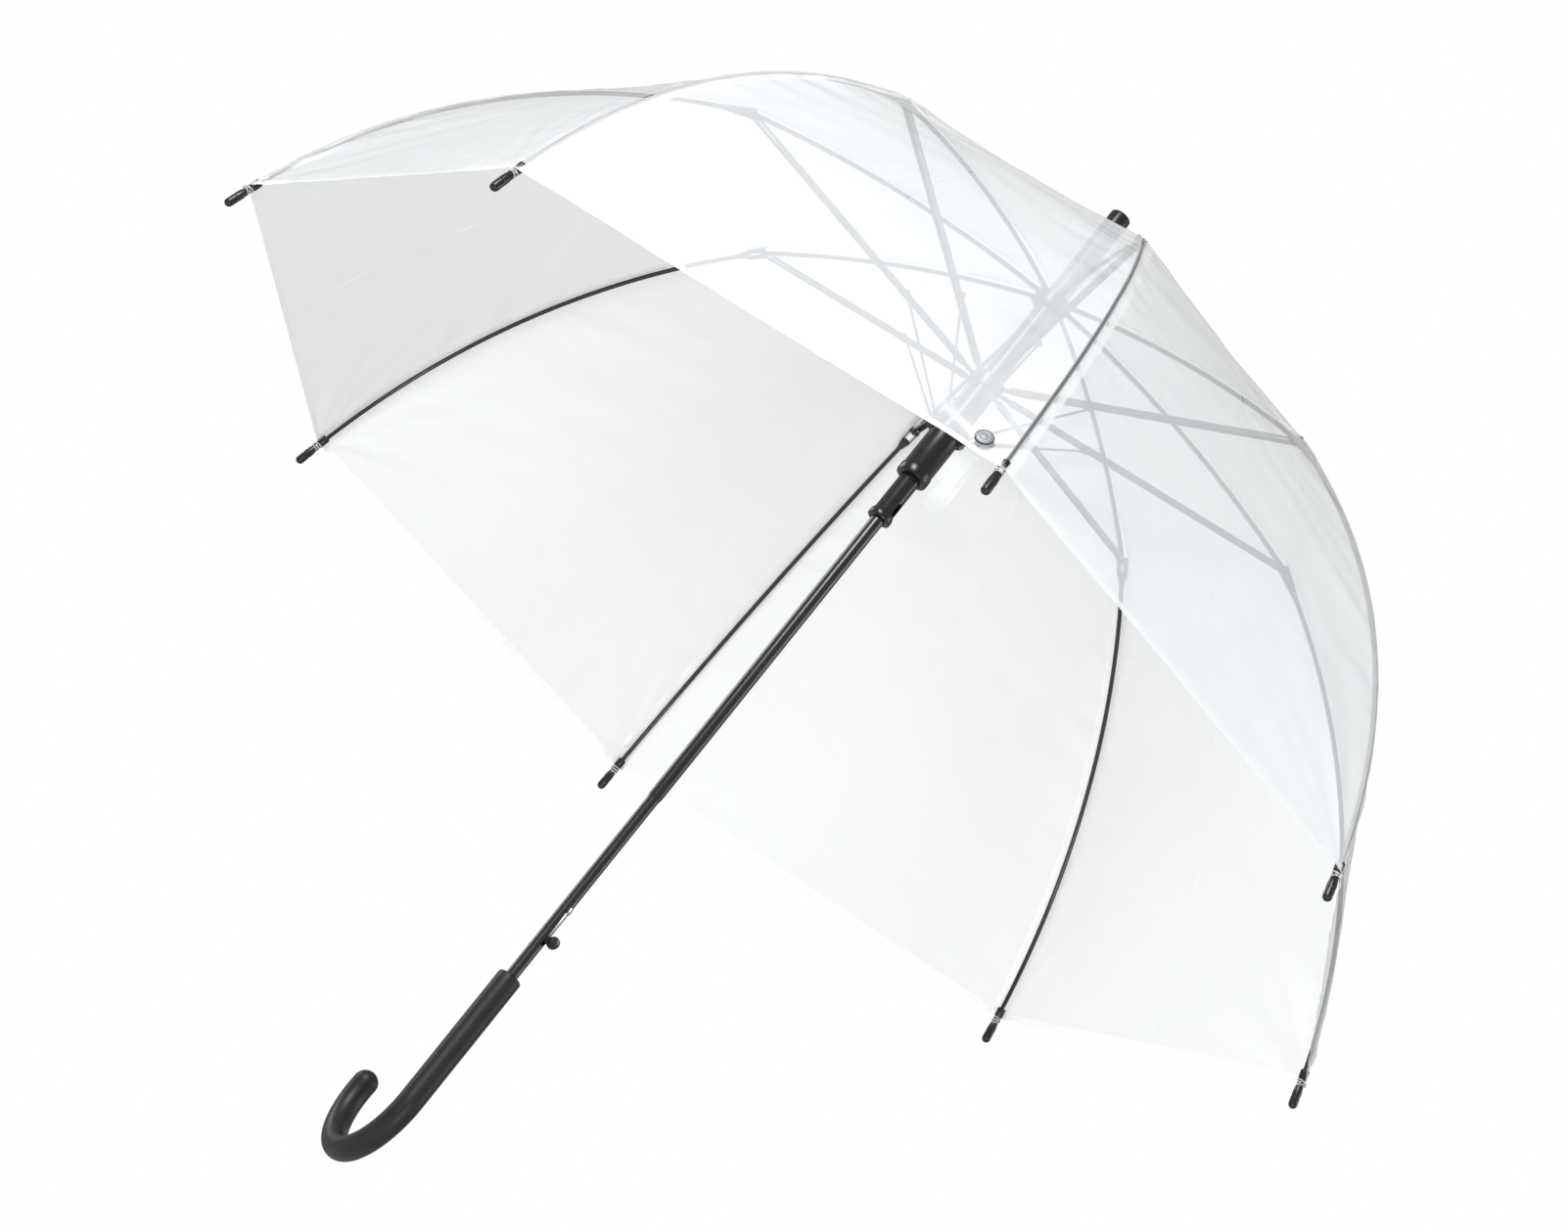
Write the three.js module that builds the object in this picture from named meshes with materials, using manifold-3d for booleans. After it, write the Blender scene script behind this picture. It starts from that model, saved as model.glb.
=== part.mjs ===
// A clear bubble umbrella, open: crook handle, steel shaft, spring-driven double runner, eight two-piece
// ribs with stretchers and links, and a dome of clear film in eight gores.
// Millimetres, +Z up along the shaft. The origin is on the shaft's axis, halfway down the grip.
import * as THREE from "three";
import { mergeVertices } from "three/addons/utils/BufferGeometryUtils.js";
import Module from "manifold-3d";

const wasm = await Module();
wasm.setup();

// ---------------------------------------------------------------- driving dimensions
const GAP = 0.3; // air between pieces that touch or slide on the real umbrella

const RIB_COUNT = 8;
const RIM_RADIUS = 450; // shaft axis to the end of a lower rib
const RIM_Z = 345; // height of the rim above the grip
const KNEE_RADIUS = 236; // shaft axis to the joint of rib and stretcher
const KNEE_Z = RIM_Z + 270;
const PIVOT_RADIUS = 10.4; // the same at the notch and at the runner, so the fold closes exactly
const HALF_SPREAD = 39; // notch pivots above the knee, and runner pivots below it, when open
const UPPER_BOW = 8; // how far an upper rib bows out of its chord
const LOWER_BOW = 35; // how far a lower rib bows out of its chord
const ROD_RADIUS = 1.6;

const SHAFT_RADIUS = 4.8;
const SHAFT_FOOT_RADIUS = 4.2; // the tube is drawn down a little below STEP_Z
const SHAFT_WALL = 0.6;
const SHAFT_TOP_Z = RIM_Z + 385;
const STEP_Z = RIM_Z - 137;

const GRIP_RADIUS = 8.4;
const GRIP_TOP_Z = 55;
const CROOK_START_Z = -46; // where the straight grip turns into the crook
const CROOK_RADIUS = 43; // on the grip's centre line
const CROOK_SWEEP = 190; // degrees
const CROOK_AZIMUTH = -74; // degrees, the side to which the crook opens
const SOCKET_DEPTH = 50;

const CAP_RADIUS = 7.6;
const CAP_TOP_Z = RIM_Z + 391;
const CAP_ROOF = 4;

const EYE_THICKNESS = 2.2; // a rib's or stretcher's flat end
const EYE_RADIUS = 2.1;
const PIN_RADIUS = 0.9;
const NOTCH_RADIUS = 13;
const NOTCH_BELOW = 7; // the notch reaches this far below its pivots
const NOTCH_ABOVE = 2.6;
const STOP_RADIUS = 7.4;

const RUNNER_TUBE_RADIUS = 7.3;
const RUNNER_CROWN_RADIUS = 12.2;
const RUNNER_CROWN_HALF = 5;
const RUNNER_END_Z = RIM_Z + 107; // lower end of the runner's end ring
const END_RING_RADIUS = 8.6;
const END_RING_HEIGHT = 7;
const WINDOW_Z = RIM_Z + 118.6; // middle of the catch window
const WINDOW_LENGTH = 11;
const WINDOW_WIDTH = 4.4;
const CATCH_AZIMUTH = 140; // degrees, the side of window and button

const COVER_WALL = 0.7;
const COVER_LENGTH = 42;
const SPRING_WIRE = 1.1; // wire diameter
const SPRING_TURNS = 12;

const SLEEVE_END_Z = RIM_Z + 144; // lower lip of the link runner
const SLEEVE_WALL = 0.7;
const LIP_RADIUS = 11.7;
const LIP_HEIGHT = 8;
const LINK_CROWN_RADIUS = 14.8;
const LINK_CROWN_HALF = 4;
const LINK_PIVOT_RADIUS = 12.5;
const LINK_DROP = 43; // link pivots below the runner's pivots, open
const LINK_REACH = 71; // runner pivot to the link's pivot, along the stretcher
const LINK_THICKNESS = 1.8;

const CHANNEL_WIDTH = 4.6; // a stretcher is a channel, open towards the rib
const CHANNEL_DEPTH = 3.4;
const CHANNEL_WALL = 0.7;
const CHANNEL_MOUTH = 7; // the channel's floor stops at least this far from the knee
const TONGUE_LENGTH = 10.5; // flat end of a rib or stretcher, clear of the hubs at every angle
const KNEE_PIN_RADIUS = 1.1;
const KNEE_EYE_RADIUS = 2.4;
const FORK_WALL = 0.7;
const FORK_LENGTH = 11; // knee to the ferrule on the lower rib
const FERRULE_LENGTH = 9;

const TIP_LENGTH = 20.5; // past the corner of the film
const TIP_SOCKET = 7; // before the corner of the film
const TIP_RADIUS = 3.1;
const TIP_NECK = 2.6;
const TIP_BORE_PLAY = 0.45; // the rod is crimped, not tight, in the moulded tip
const ROD_IN_TIP = 5.5;

const FILM_THICKNESS = 0.5;
const FILM_OFFSET = 4; // rib centre line to the film's inner face
const FILM_EYE_RADIUS = SHAFT_RADIUS + 0.6;

const BUTTON_Z = -257 + RIM_Z;
const BUTTON_RADIUS = 4.4;
const BUTTON_THICKNESS = 3;
const BUTTON_REACH = 9.4; // shaft axis to the middle of the thumb piece
const LEAF_LENGTH = 26; // the catch's spring leaf, up the shaft

const SNAP_RADIUS = 5.8;
const SNAP_HEIGHT = 3.2;
const SNAP_ALONG = 20; // from the gore's corner, along the hem
const SNAP_UP = 10; // above the hem
const STRAP_WIDTH = 12;
const STRAP_LOOP = 46;
const STRAP_THICKNESS = 0.8;

// ---------------------------------------------------------------- worked out from them
const STEP_ANGLE = (2 * Math.PI) / RIB_COUNT;
const notchPivot = new THREE.Vector3(PIVOT_RADIUS, 0, KNEE_Z + HALF_SPREAD);
const runnerPivot = new THREE.Vector3(PIVOT_RADIUS, 0, KNEE_Z - HALF_SPREAD);
const knee = new THREE.Vector3(KNEE_RADIUS, 0, KNEE_Z);
const rimEnd = new THREE.Vector3(RIM_RADIUS, 0, RIM_Z);
const linkPivot = runnerPivot.clone().lerp(knee, LINK_REACH / runnerPivot.distanceTo(knee));
const linkFoot = new THREE.Vector3(LINK_PIVOT_RADIUS, 0, runnerPivot.z - LINK_DROP);
const ribChord = notchPivot.clone().sub(knee);
const ribSlope = ribChord.angleTo(runnerPivot.clone().sub(knee)) + Math.atan((3.8 * UPPER_BOW) / ribChord.length());
const ribLeaves = (ROD_RADIUS * Math.cos(ribSlope) + CHANNEL_DEPTH / 2) / Math.sin(ribSlope); // knee to where the rib is out of the channel
const mouthLength = Math.max(CHANNEL_MOUTH, ribLeaves + GAP / 2);
const linkSide = CHANNEL_WIDTH / 2 + 0.4 + LINK_THICKNESS / 2;
const eyeSlot = EYE_THICKNESS + 2 * GAP;
const crownCore = RUNNER_TUBE_RADIUS + 0.6;
const runnerBore = SHAFT_RADIUS + GAP;
const coverInner = RUNNER_TUBE_RADIUS + 2 * GAP + SPRING_WIRE + GAP;
const coverOuter = coverInner + COVER_WALL;
const sleeveInner = coverOuter + GAP;
const sleeveOuter = sleeveInner + SLEEVE_WALL;

// ---------------------------------------------------------------- helpers
// A three.js geometry as a manifold-3d solid.
function solidOf(geometry) {
  const bare = geometry.clone();
  bare.deleteAttribute("normal");
  if (bare.attributes.uv) bare.deleteAttribute("uv");
  const merged = mergeVertices(bare, 1e-4);
  return new wasm.Manifold(
    new wasm.Mesh({
      numProp: 3,
      vertProperties: new Float32Array(merged.attributes.position.array),
      triVerts: new Uint32Array(merged.index.array),
    }),
  );
}

// A manifold-3d solid as a three.js geometry.
function geometryOf(solid) {
  const mesh = solid.getMesh();
  const geometry = new THREE.BufferGeometry();
  geometry.setAttribute("position", new THREE.BufferAttribute(new Float32Array(mesh.vertProperties), 3));
  geometry.setIndex(new THREE.BufferAttribute(new Uint32Array(mesh.triVerts), 1));
  const flat = geometry.toNonIndexed();
  flat.computeVertexNormals();
  return flat;
}

const unite = (...solids) => solids.reduce((whole, next) => whole.add(next));
const cut = (whole, ...tools) => tools.reduce((left, tool) => left.subtract(tool), whole);

// A solid of revolution about Z from [radius, z] points.
function turned(points, segments = 28) {
  const profile = points.map(([radius, z]) => new THREE.Vector2(radius, z));
  return solidOf(new THREE.LatheGeometry(profile, segments).rotateX(Math.PI / 2));
}

// A plain ring about Z.
function ring(inner, outer, low, high, segments = 28) {
  const corners = [[inner, low], [outer, low], [outer, high], [inner, high], [inner, low]];
  return turned(corners, segments);
}

// A round disc or pin across the rib plane: centre (x, z), from y = low to y = high.
function crossPin(radius, centre, low, high, segments = 8) {
  const pin = new THREE.CylinderGeometry(radius, radius, high - low, segments);
  return solidOf(pin.translate(centre.x, (low + high) / 2, centre.z));
}

// A box given by its lowest and highest corners.
function block(low, high) {
  const size = high.map((value, i) => value - low[i]);
  const box = new THREE.BoxGeometry(...size);
  return solidOf(box.translate(...low.map((value, i) => value + size[i] / 2)));
}

// Places a geometry whose +X runs along the piece: its origin at from, its +X towards to, in the rib plane.
function along(geometry, from, to) {
  const ahead = to.clone().sub(from).normalize();
  const across = new THREE.Vector3(0, 1, 0);
  const over = ahead.clone().cross(across);
  const place = new THREE.Matrix4().makeBasis(ahead, across, over).setPosition(from);
  return geometry.applyMatrix4(place);
}

// A flat bar in the rib plane, from start to end millimetres along the way from one point to another.
function bar(from, to, start, end, thickness, height) {
  const box = new THREE.BoxGeometry(end - start, thickness, height);
  return solidOf(along(box.translate((start + end) / 2, 0, 0), from, to));
}

// The centre line of a rod that bows out of its chord, as an arc in the rib plane.
class Bow extends THREE.Curve {
  constructor(from, to, bow, past = 0) {
    super();
    const half = from.distanceTo(to) / 2;
    this.radius = (half * half + bow * bow) / (2 * bow);
    const middle = from.clone().lerp(to, 0.5);
    const chord = to.clone().sub(from).normalize();
    this.outward = new THREE.Vector3(-chord.z, 0, chord.x);
    this.chord = chord;
    this.centre = middle.addScaledVector(this.outward, bow - this.radius);
    this.spread = Math.asin(half / this.radius);
    this.past = past / this.radius;
  }

  getPoint(t, target = new THREE.Vector3()) {
    const turn = -this.spread + t * (2 * this.spread + this.past);
    return target
      .copy(this.centre)
      .addScaledVector(this.outward, this.radius * Math.cos(turn))
      .addScaledVector(this.chord, this.radius * Math.sin(turn));
  }

  // The outward normal at t.
  normalAt(t) {
    return this.getPoint(t).sub(this.centre).normalize();
  }
}

// The rest of a curve between two of its parameters.
class Stretch extends THREE.Curve {
  constructor(whole, start, end) {
    super();
    Object.assign(this, { whole, start, end });
  }

  getPoint(t, target = new THREE.Vector3()) {
    return this.whole.getPoint(this.start + t * (this.end - this.start), target);
  }
}

// A round rod along a curve.
function rod(curve, radius, steps, sides) {
  const section = new THREE.Shape().absarc(0, 0, radius, 0, 2 * Math.PI);
  const options = { steps, curveSegments: sides, bevelEnabled: false, extrudePath: curve };
  return solidOf(new THREE.ExtrudeGeometry(section, options));
}

const upperBow = new Bow(notchPivot, knee, UPPER_BOW);
const lowerBow = new Bow(knee, rimEnd, LOWER_BOW, ROD_IN_TIP);
const lowerStart = lowerBow.getPoint(FORK_LENGTH / lowerBow.getLength());
const rimShare = 1 - ROD_IN_TIP / lowerBow.getLength();

// ---------------------------------------------------------------- shaft and handle
function shaft() {
  const inner = SHAFT_RADIUS - SHAFT_WALL;
  const footInner = SHAFT_FOOT_RADIUS - SHAFT_WALL;
  const bottom = GRIP_TOP_Z - SOCKET_DEPTH;
  const tube = turned(
    [
      [footInner, bottom],
      [SHAFT_FOOT_RADIUS, bottom],
      [SHAFT_FOOT_RADIUS, STEP_Z - 4],
      [SHAFT_RADIUS, STEP_Z],
      [SHAFT_RADIUS, SHAFT_TOP_Z],
      [inner, SHAFT_TOP_Z],
      [inner, STEP_Z],
      [footInner, STEP_Z - 4],
      [footInner, bottom],
    ],
  );
  const half = BUTTON_THICKNESS / 2 + GAP;
  const slot = block(
    [1, -half, BUTTON_Z - BUTTON_RADIUS - GAP],
    [SHAFT_RADIUS + 1, half, BUTTON_Z + LEAF_LENGTH + GAP],
  );
  return cut(tube, slot.rotate([0, 0, CATCH_AZIMUTH]));
}

// The crook's centre line: an arc from the straight grip, in the plane of X and Z.
class Crook extends THREE.Curve {
  getPoint(t, target = new THREE.Vector3()) {
    const turn = THREE.MathUtils.degToRad(CROOK_SWEEP) * t;
    const out = CROOK_RADIUS * (1 - Math.cos(turn));
    return target.set(out, 0, CROOK_START_Z - CROOK_RADIUS * Math.sin(turn));
  }
}

function handle() {
  const edge = 1.6;
  const bore = SHAFT_FOOT_RADIUS + GAP;
  const floor = GRIP_TOP_Z - SOCKET_DEPTH - GAP;
  const straight = turned(
    [
      [0, CROOK_START_Z],
      [GRIP_RADIUS, CROOK_START_Z],
      [GRIP_RADIUS, GRIP_TOP_Z - edge],
      [GRIP_RADIUS - edge * 0.3, GRIP_TOP_Z - edge * 0.3],
      [GRIP_RADIUS - edge, GRIP_TOP_Z],
      [bore, GRIP_TOP_Z],
      [bore, floor],
      [0, floor],
    ],
    24,
  );
  const crook = new Crook();
  const end = crook.getPoint(1);
  const bend = rod(crook, GRIP_RADIUS, 22, 10);
  const cap = solidOf(new THREE.SphereGeometry(GRIP_RADIUS, 20, 10).translate(end.x, 0, end.z));
  return unite(straight, bend, cap).rotate([0, 0, CROOK_AZIMUTH]);
}

// ---------------------------------------------------------------- top of the shaft
const notchTop = notchPivot.z + NOTCH_ABOVE;
const filmCrownZ = notchTop + GAP;

// Eight slots with a pin across each, in a hub whose pivots are at the given height.
function slotted(hub, core, outer, pivotZ, low, high) {
  let body = hub;
  const pins = [];
  for (let i = 0; i < RIB_COUNT; i++) {
    const turn = [0, 0, (i * 360) / RIB_COUNT];
    const slot = block([core, -eyeSlot / 2, low - 1], [outer + 1, eyeSlot / 2, high + 1]);
    const pivot = new THREE.Vector3(PIVOT_RADIUS, 0, pivotZ);
    const pin = crossPin(PIN_RADIUS, pivot, -eyeSlot / 2 - 0.4, eyeSlot / 2 + 0.4);
    body = body.subtract(slot.rotate(turn));
    pins.push(pin.rotate(turn));
  }
  return unite(body, ...pins);
}

function topNotch() {
  const low = notchPivot.z - NOTCH_BELOW;
  const hub = ring(SHAFT_RADIUS + GAP, NOTCH_RADIUS, low, notchTop);
  return slotted(hub, crownCore, NOTCH_RADIUS, notchPivot.z, low, notchTop);
}

function topCap() {
  const low = filmCrownZ + FILM_THICKNESS + GAP;
  const roof = CAP_TOP_Z - CAP_ROOF;
  const bore = SHAFT_RADIUS + GAP;
  return turned(
    [
      [bore, low],
      [CAP_RADIUS, low],
      [CAP_RADIUS, CAP_TOP_Z - 1.2],
      [CAP_RADIUS - 0.35, CAP_TOP_Z - 0.35],
      [CAP_RADIUS - 1.2, CAP_TOP_Z],
      [0, CAP_TOP_Z],
      [0, roof],
      [bore, roof],
      [bore, low],
    ],
  );
}

function stopSleeve() {
  const low = runnerPivot.z + RUNNER_CROWN_HALF + GAP;
  return ring(SHAFT_RADIUS + GAP, STOP_RADIUS, low, notchPivot.z - NOTCH_BELOW - GAP);
}

// ---------------------------------------------------------------- runners and spring
function innerRunner() {
  const low = runnerPivot.z - RUNNER_CROWN_HALF;
  const high = runnerPivot.z + RUNNER_CROWN_HALF;
  const tube = turned(
    [
      [runnerBore, RUNNER_END_Z],
      [END_RING_RADIUS - 0.6, RUNNER_END_Z],
      [END_RING_RADIUS, RUNNER_END_Z + 0.8],
      [END_RING_RADIUS, RUNNER_END_Z + END_RING_HEIGHT - 3],
      [RUNNER_TUBE_RADIUS, RUNNER_END_Z + END_RING_HEIGHT],
      [RUNNER_TUBE_RADIUS, low + 1],
      [RUNNER_TUBE_RADIUS, high],
      [runnerBore, high],
      [runnerBore, RUNNER_END_Z],
    ],
  );
  const crown = ring(runnerBore + 0.5, RUNNER_CROWN_RADIUS, low, high);
  const body = slotted(unite(tube, crown), crownCore, RUNNER_CROWN_RADIUS, runnerPivot.z, low, high);
  return cut(body, catchWindow());
}

// The oval window that the thumb piece of the catch springs through when the umbrella is closed.
function catchWindow() {
  const half = WINDOW_WIDTH / 2;
  const run = WINDOW_LENGTH / 2 - half;
  const oval = new THREE.Shape();
  oval.absarc(run, 0, half, -Math.PI / 2, Math.PI / 2);
  oval.absarc(-run, 0, half, Math.PI / 2, (3 * Math.PI) / 2);
  const options = { depth: END_RING_RADIUS, bevelEnabled: false, curveSegments: 8 };
  const tool = new THREE.ExtrudeGeometry(oval, options).rotateY(Math.PI / 2).translate(2, 0, WINDOW_Z);
  return solidOf(tool).rotate([0, 0, CATCH_AZIMUTH]);
}

const coverTop = runnerPivot.z - RUNNER_CROWN_HALF - GAP;

function springCover() {
  return ring(coverInner, coverOuter, coverTop - COVER_LENGTH, coverTop);
}

function linkRunner() {
  const top = linkFoot.z + LINK_CROWN_HALF;
  const floorBore = RUNNER_TUBE_RADIUS + GAP;
  const sleeve = turned(
    [
      [floorBore, SLEEVE_END_Z],
      [LIP_RADIUS - 0.8, SLEEVE_END_Z],
      [LIP_RADIUS, SLEEVE_END_Z + 0.8],
      [LIP_RADIUS, SLEEVE_END_Z + LIP_HEIGHT - 1],
      [sleeveOuter, SLEEVE_END_Z + LIP_HEIGHT],
      [sleeveOuter, top],
      [sleeveInner, top],
      [sleeveInner, SLEEVE_END_Z + 3],
      [floorBore, SLEEVE_END_Z + 3],
      [floorBore, SLEEVE_END_Z],
    ],
  );
  const low = linkFoot.z - LINK_CROWN_HALF;
  let body = unite(sleeve, ring(sleeveInner + 0.2, LINK_CROWN_RADIUS, low, top));
  const half = LINK_THICKNESS / 2 + GAP;
  for (let i = 0; i < RIB_COUNT; i++) {
    const slot = block(
      [sleeveOuter, linkSide - half, low - 1],
      [LINK_CROWN_RADIUS + 1, linkSide + half, top + 1],
    );
    body = body.subtract(slot.rotate([0, 0, (i * 360) / RIB_COUNT]));
  }
  return body;
}

// The spring's centre line: a plain helix.
class Helix extends THREE.Curve {
  constructor(radius, low, high, turns) {
    super();
    Object.assign(this, { radius, low, high, turns });
  }

  getPoint(t, target = new THREE.Vector3()) {
    const turn = 2 * Math.PI * this.turns * t;
    const z = this.low + (this.high - this.low) * t;
    return target.set(this.radius * Math.cos(turn), this.radius * Math.sin(turn), z);
  }
}

function mainSpring() {
  const wire = SPRING_WIRE / 2;
  const radius = RUNNER_TUBE_RADIUS + 2 * GAP + wire;
  const low = SLEEVE_END_Z + 3 + 2 * GAP + wire;
  const high = coverTop - wire - GAP;
  return rod(new Helix(radius, low, high, SPRING_TURNS), wire, SPRING_TURNS * 10, 3);
}

// ---------------------------------------------------------------- one rib and what it carries
function upperRib() {
  const half = EYE_THICKNESS / 2;
  const length = upperBow.getLength();
  const share = TONGUE_LENGTH / length;
  const inner = upperBow.getPoint(share);
  const outer = upperBow.getPoint(1 - share);
  const middle = new Stretch(upperBow, (TONGUE_LENGTH - 1) / length, 1 - (TONGUE_LENGTH - 1) / length);
  const body = unite(
    crossPin(EYE_RADIUS, notchPivot, -half, half, 12),
    bar(notchPivot, inner, 0, notchPivot.distanceTo(inner), EYE_THICKNESS, 2 * ROD_RADIUS),
    rod(middle, ROD_RADIUS, 7, 3),
    bar(knee, outer, 0, knee.distanceTo(outer), EYE_THICKNESS, 2 * ROD_RADIUS),
    crossPin(KNEE_EYE_RADIUS, knee, -half, half, 12),
  );
  return cut(
    body,
    crossPin(PIN_RADIUS + GAP, notchPivot, -half - 1, half + 1),
    crossPin(KNEE_PIN_RADIUS + GAP, knee, -half - 1, half + 1),
  );
}

function lowerRib() {
  const inner = CHANNEL_WIDTH / 2 + GAP;
  const outer = inner + FORK_WALL;
  const reach = knee.distanceTo(lowerStart);
  const cheeks = [-1, 1].map((side) => {
    const [low, high] = side > 0 ? [inner, outer] : [-outer, -inner];
    const disc = crossPin(KNEE_EYE_RADIUS + 0.5, knee, low, high, 12);
    const arm = bar(knee, lowerStart, 0, reach + 1, FORK_WALL, 2 * KNEE_EYE_RADIUS);
    return unite(disc, arm.translate([0, (low + high) / 2, 0]));
  });
  const ferrule = new THREE.CylinderGeometry(ROD_RADIUS + 0.5, outer, FERRULE_LENGTH, 10);
  ferrule.rotateZ(-Math.PI / 2).translate(reach + FERRULE_LENGTH / 2, 0, 0);
  const start = (FORK_LENGTH + 1) / lowerBow.getLength();
  return unite(
    crossPin(KNEE_PIN_RADIUS, knee, -outer, outer),
    ...cheeks,
    solidOf(along(ferrule, knee, lowerStart)),
    rod(new Stretch(lowerBow, start, 1), ROD_RADIUS, 12, 3),
  );
}

function ribTip() {
  const bore = ROD_RADIUS + TIP_BORE_PLAY;
  const depth = ROD_IN_TIP + GAP;
  const collar = TIP_NECK + 0.35;
  const dome = [];
  for (let i = 1; i <= 4; i++) {
    const turn = (i * Math.PI) / 8;
    dome.push([TIP_RADIUS * Math.cos(turn), TIP_LENGTH - TIP_RADIUS * (1 - Math.sin(turn))]);
  }
  dome[3][0] = 0;
  const points = [
    [0, depth],
    [bore, depth],
    [bore, -TIP_SOCKET],
    [collar, -TIP_SOCKET],
    [collar, -1],
    [TIP_NECK, 1],
    [TIP_NECK, 4],
    [TIP_RADIUS, 9],
    [TIP_RADIUS, TIP_LENGTH - TIP_RADIUS],
    ...dome,
  ];
  const profile = points.map(([radius, z]) => new THREE.Vector2(radius, z));
  const bullet = new THREE.LatheGeometry(profile, 8).rotateZ(-Math.PI / 2);
  const corner = lowerBow.getPoint(rimShare);
  return solidOf(along(bullet, corner, lowerBow.getPoint(1)));
}

function stretcher() {
  const half = CHANNEL_WIDTH / 2;
  const deep = CHANNEL_DEPTH / 2;
  const length = knee.distanceTo(runnerPivot);
  const section = [
    [-half, -deep],
    [half, -deep],
    [half, deep],
    [half - CHANNEL_WALL, deep],
    [half - CHANNEL_WALL, CHANNEL_WALL - deep],
    [CHANNEL_WALL - half, CHANNEL_WALL - deep],
    [CHANNEL_WALL - half, deep],
    [-half, deep],
  ].map(([y, z]) => new THREE.Vector2(y, z));
  const reach = length - TONGUE_LENGTH;
  const channel = new THREE.ExtrudeGeometry(new THREE.Shape(section), { depth: reach, bevelEnabled: false });
  const turn = new THREE.Matrix4().makeBasis(
    new THREE.Vector3(0, 1, 0),
    new THREE.Vector3(0, 0, 1),
    new THREE.Vector3(1, 0, 0),
  );
  const beam = solidOf(along(channel.applyMatrix4(turn), knee, runnerPivot));
  const mouth = bar(knee, runnerPivot, -4, mouthLength, CHANNEL_WIDTH - 2 * CHANNEL_WALL, CHANNEL_DEPTH + 2);
  const rim = half - CHANNEL_WALL;
  const cheeks = unite(
    crossPin(KNEE_EYE_RADIUS, knee, rim, half, 12),
    crossPin(KNEE_EYE_RADIUS, knee, -half, -rim, 12),
  );
  const eye = EYE_THICKNESS / 2;
  const tongue = bar(knee, runnerPivot, reach - 6, length, EYE_THICKNESS, CHANNEL_DEPTH - 0.6);
  const studEnd = linkSide + LINK_THICKNESS / 2 + GAP;
  const body = unite(
    cut(beam, mouth),
    cheeks,
    tongue,
    crossPin(EYE_RADIUS, runnerPivot, -eye, eye, 12),
    crossPin(PIN_RADIUS - 0.1, linkPivot, half - 0.4, studEnd + 0.2),
    crossPin(EYE_RADIUS - 0.3, linkPivot, studEnd, studEnd + 0.7),
  );
  return cut(
    body,
    crossPin(PIN_RADIUS + GAP, runnerPivot, -eye - 1, eye + 1),
    crossPin(KNEE_PIN_RADIUS + GAP, knee, -half - 1, half + 1),
  );
}

function link() {
  const low = linkSide - LINK_THICKNESS / 2;
  const high = linkSide + LINK_THICKNESS / 2;
  const length = linkPivot.distanceTo(linkFoot);
  const wire = new THREE.CylinderGeometry(LINK_THICKNESS / 2, LINK_THICKNESS / 2, length - 1.4, 8);
  wire.rotateZ(-Math.PI / 2).translate(length / 2 + 0.7, 0, 0);
  const body = unite(
    crossPin(EYE_RADIUS - 0.1, linkPivot, low, high, 12),
    solidOf(along(wire, linkPivot, linkFoot).translate(0, linkSide, 0)),
    crossPin(EYE_RADIUS - 0.6, linkFoot, low, high),
  );
  return cut(body, crossPin(PIN_RADIUS - 0.1 + GAP, linkPivot, low - 1, high + 1));
}

// ---------------------------------------------------------------- film
// One face of the dome over a rib, offset outwards from the rib's centre line.
function filmLine(offset, eyeZ) {
  const points = [[FILM_EYE_RADIUS, eyeZ], [NOTCH_RADIUS + 1, eyeZ]];
  for (let i = 1; i <= 8; i++) {
    const t = 0.1 + (0.9 * i) / 8;
    const p = upperBow.getPoint(t).addScaledVector(upperBow.normalAt(t), offset);
    points.push([p.x, p.z]);
  }
  const kneeNormal = upperBow.normalAt(1);
  for (let i = 0; i <= 14; i++) {
    const t = (rimShare * i) / 14;
    const blend = Math.min(1, i / 2);
    const normal = lowerBow.normalAt(t).multiplyScalar(blend).addScaledVector(kneeNormal, 1 - blend);
    const p = lowerBow.getPoint(t).addScaledVector(normal.normalize(), offset);
    if (i > 0) points.push([p.x, p.z]);
  }
  return points;
}

function dome() {
  const inside = filmLine(FILM_OFFSET, filmCrownZ);
  const outside = filmLine(FILM_OFFSET + FILM_THICKNESS, filmCrownZ + FILM_THICKNESS);
  const profile = [...inside, ...outside.reverse()];
  return turned([...profile, profile[0]], RIB_COUNT);
}

// The wedge of space between two neighbouring rib planes, less half a gap at each.
function wedge(index) {
  const reach = 2 * RIM_RADIUS;
  const turn = STEP_ANGLE / 2;
  const back = GAP / 2 / Math.sin(turn);
  const outline = new THREE.Shape([
    new THREE.Vector2(back, 0),
    new THREE.Vector2(reach, -(reach - back) * Math.tan(turn)),
    new THREE.Vector2(reach, (reach - back) * Math.tan(turn)),
  ]);
  const prism = new THREE.ExtrudeGeometry(outline, { depth: 2 * CAP_TOP_Z, bevelEnabled: false });
  const degrees = THREE.MathUtils.radToDeg(STEP_ANGLE);
  return solidOf(prism.translate(0, 0, -CAP_TOP_Z / 2)).rotate([0, 0, (index + 0.5) * degrees]);
}

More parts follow.
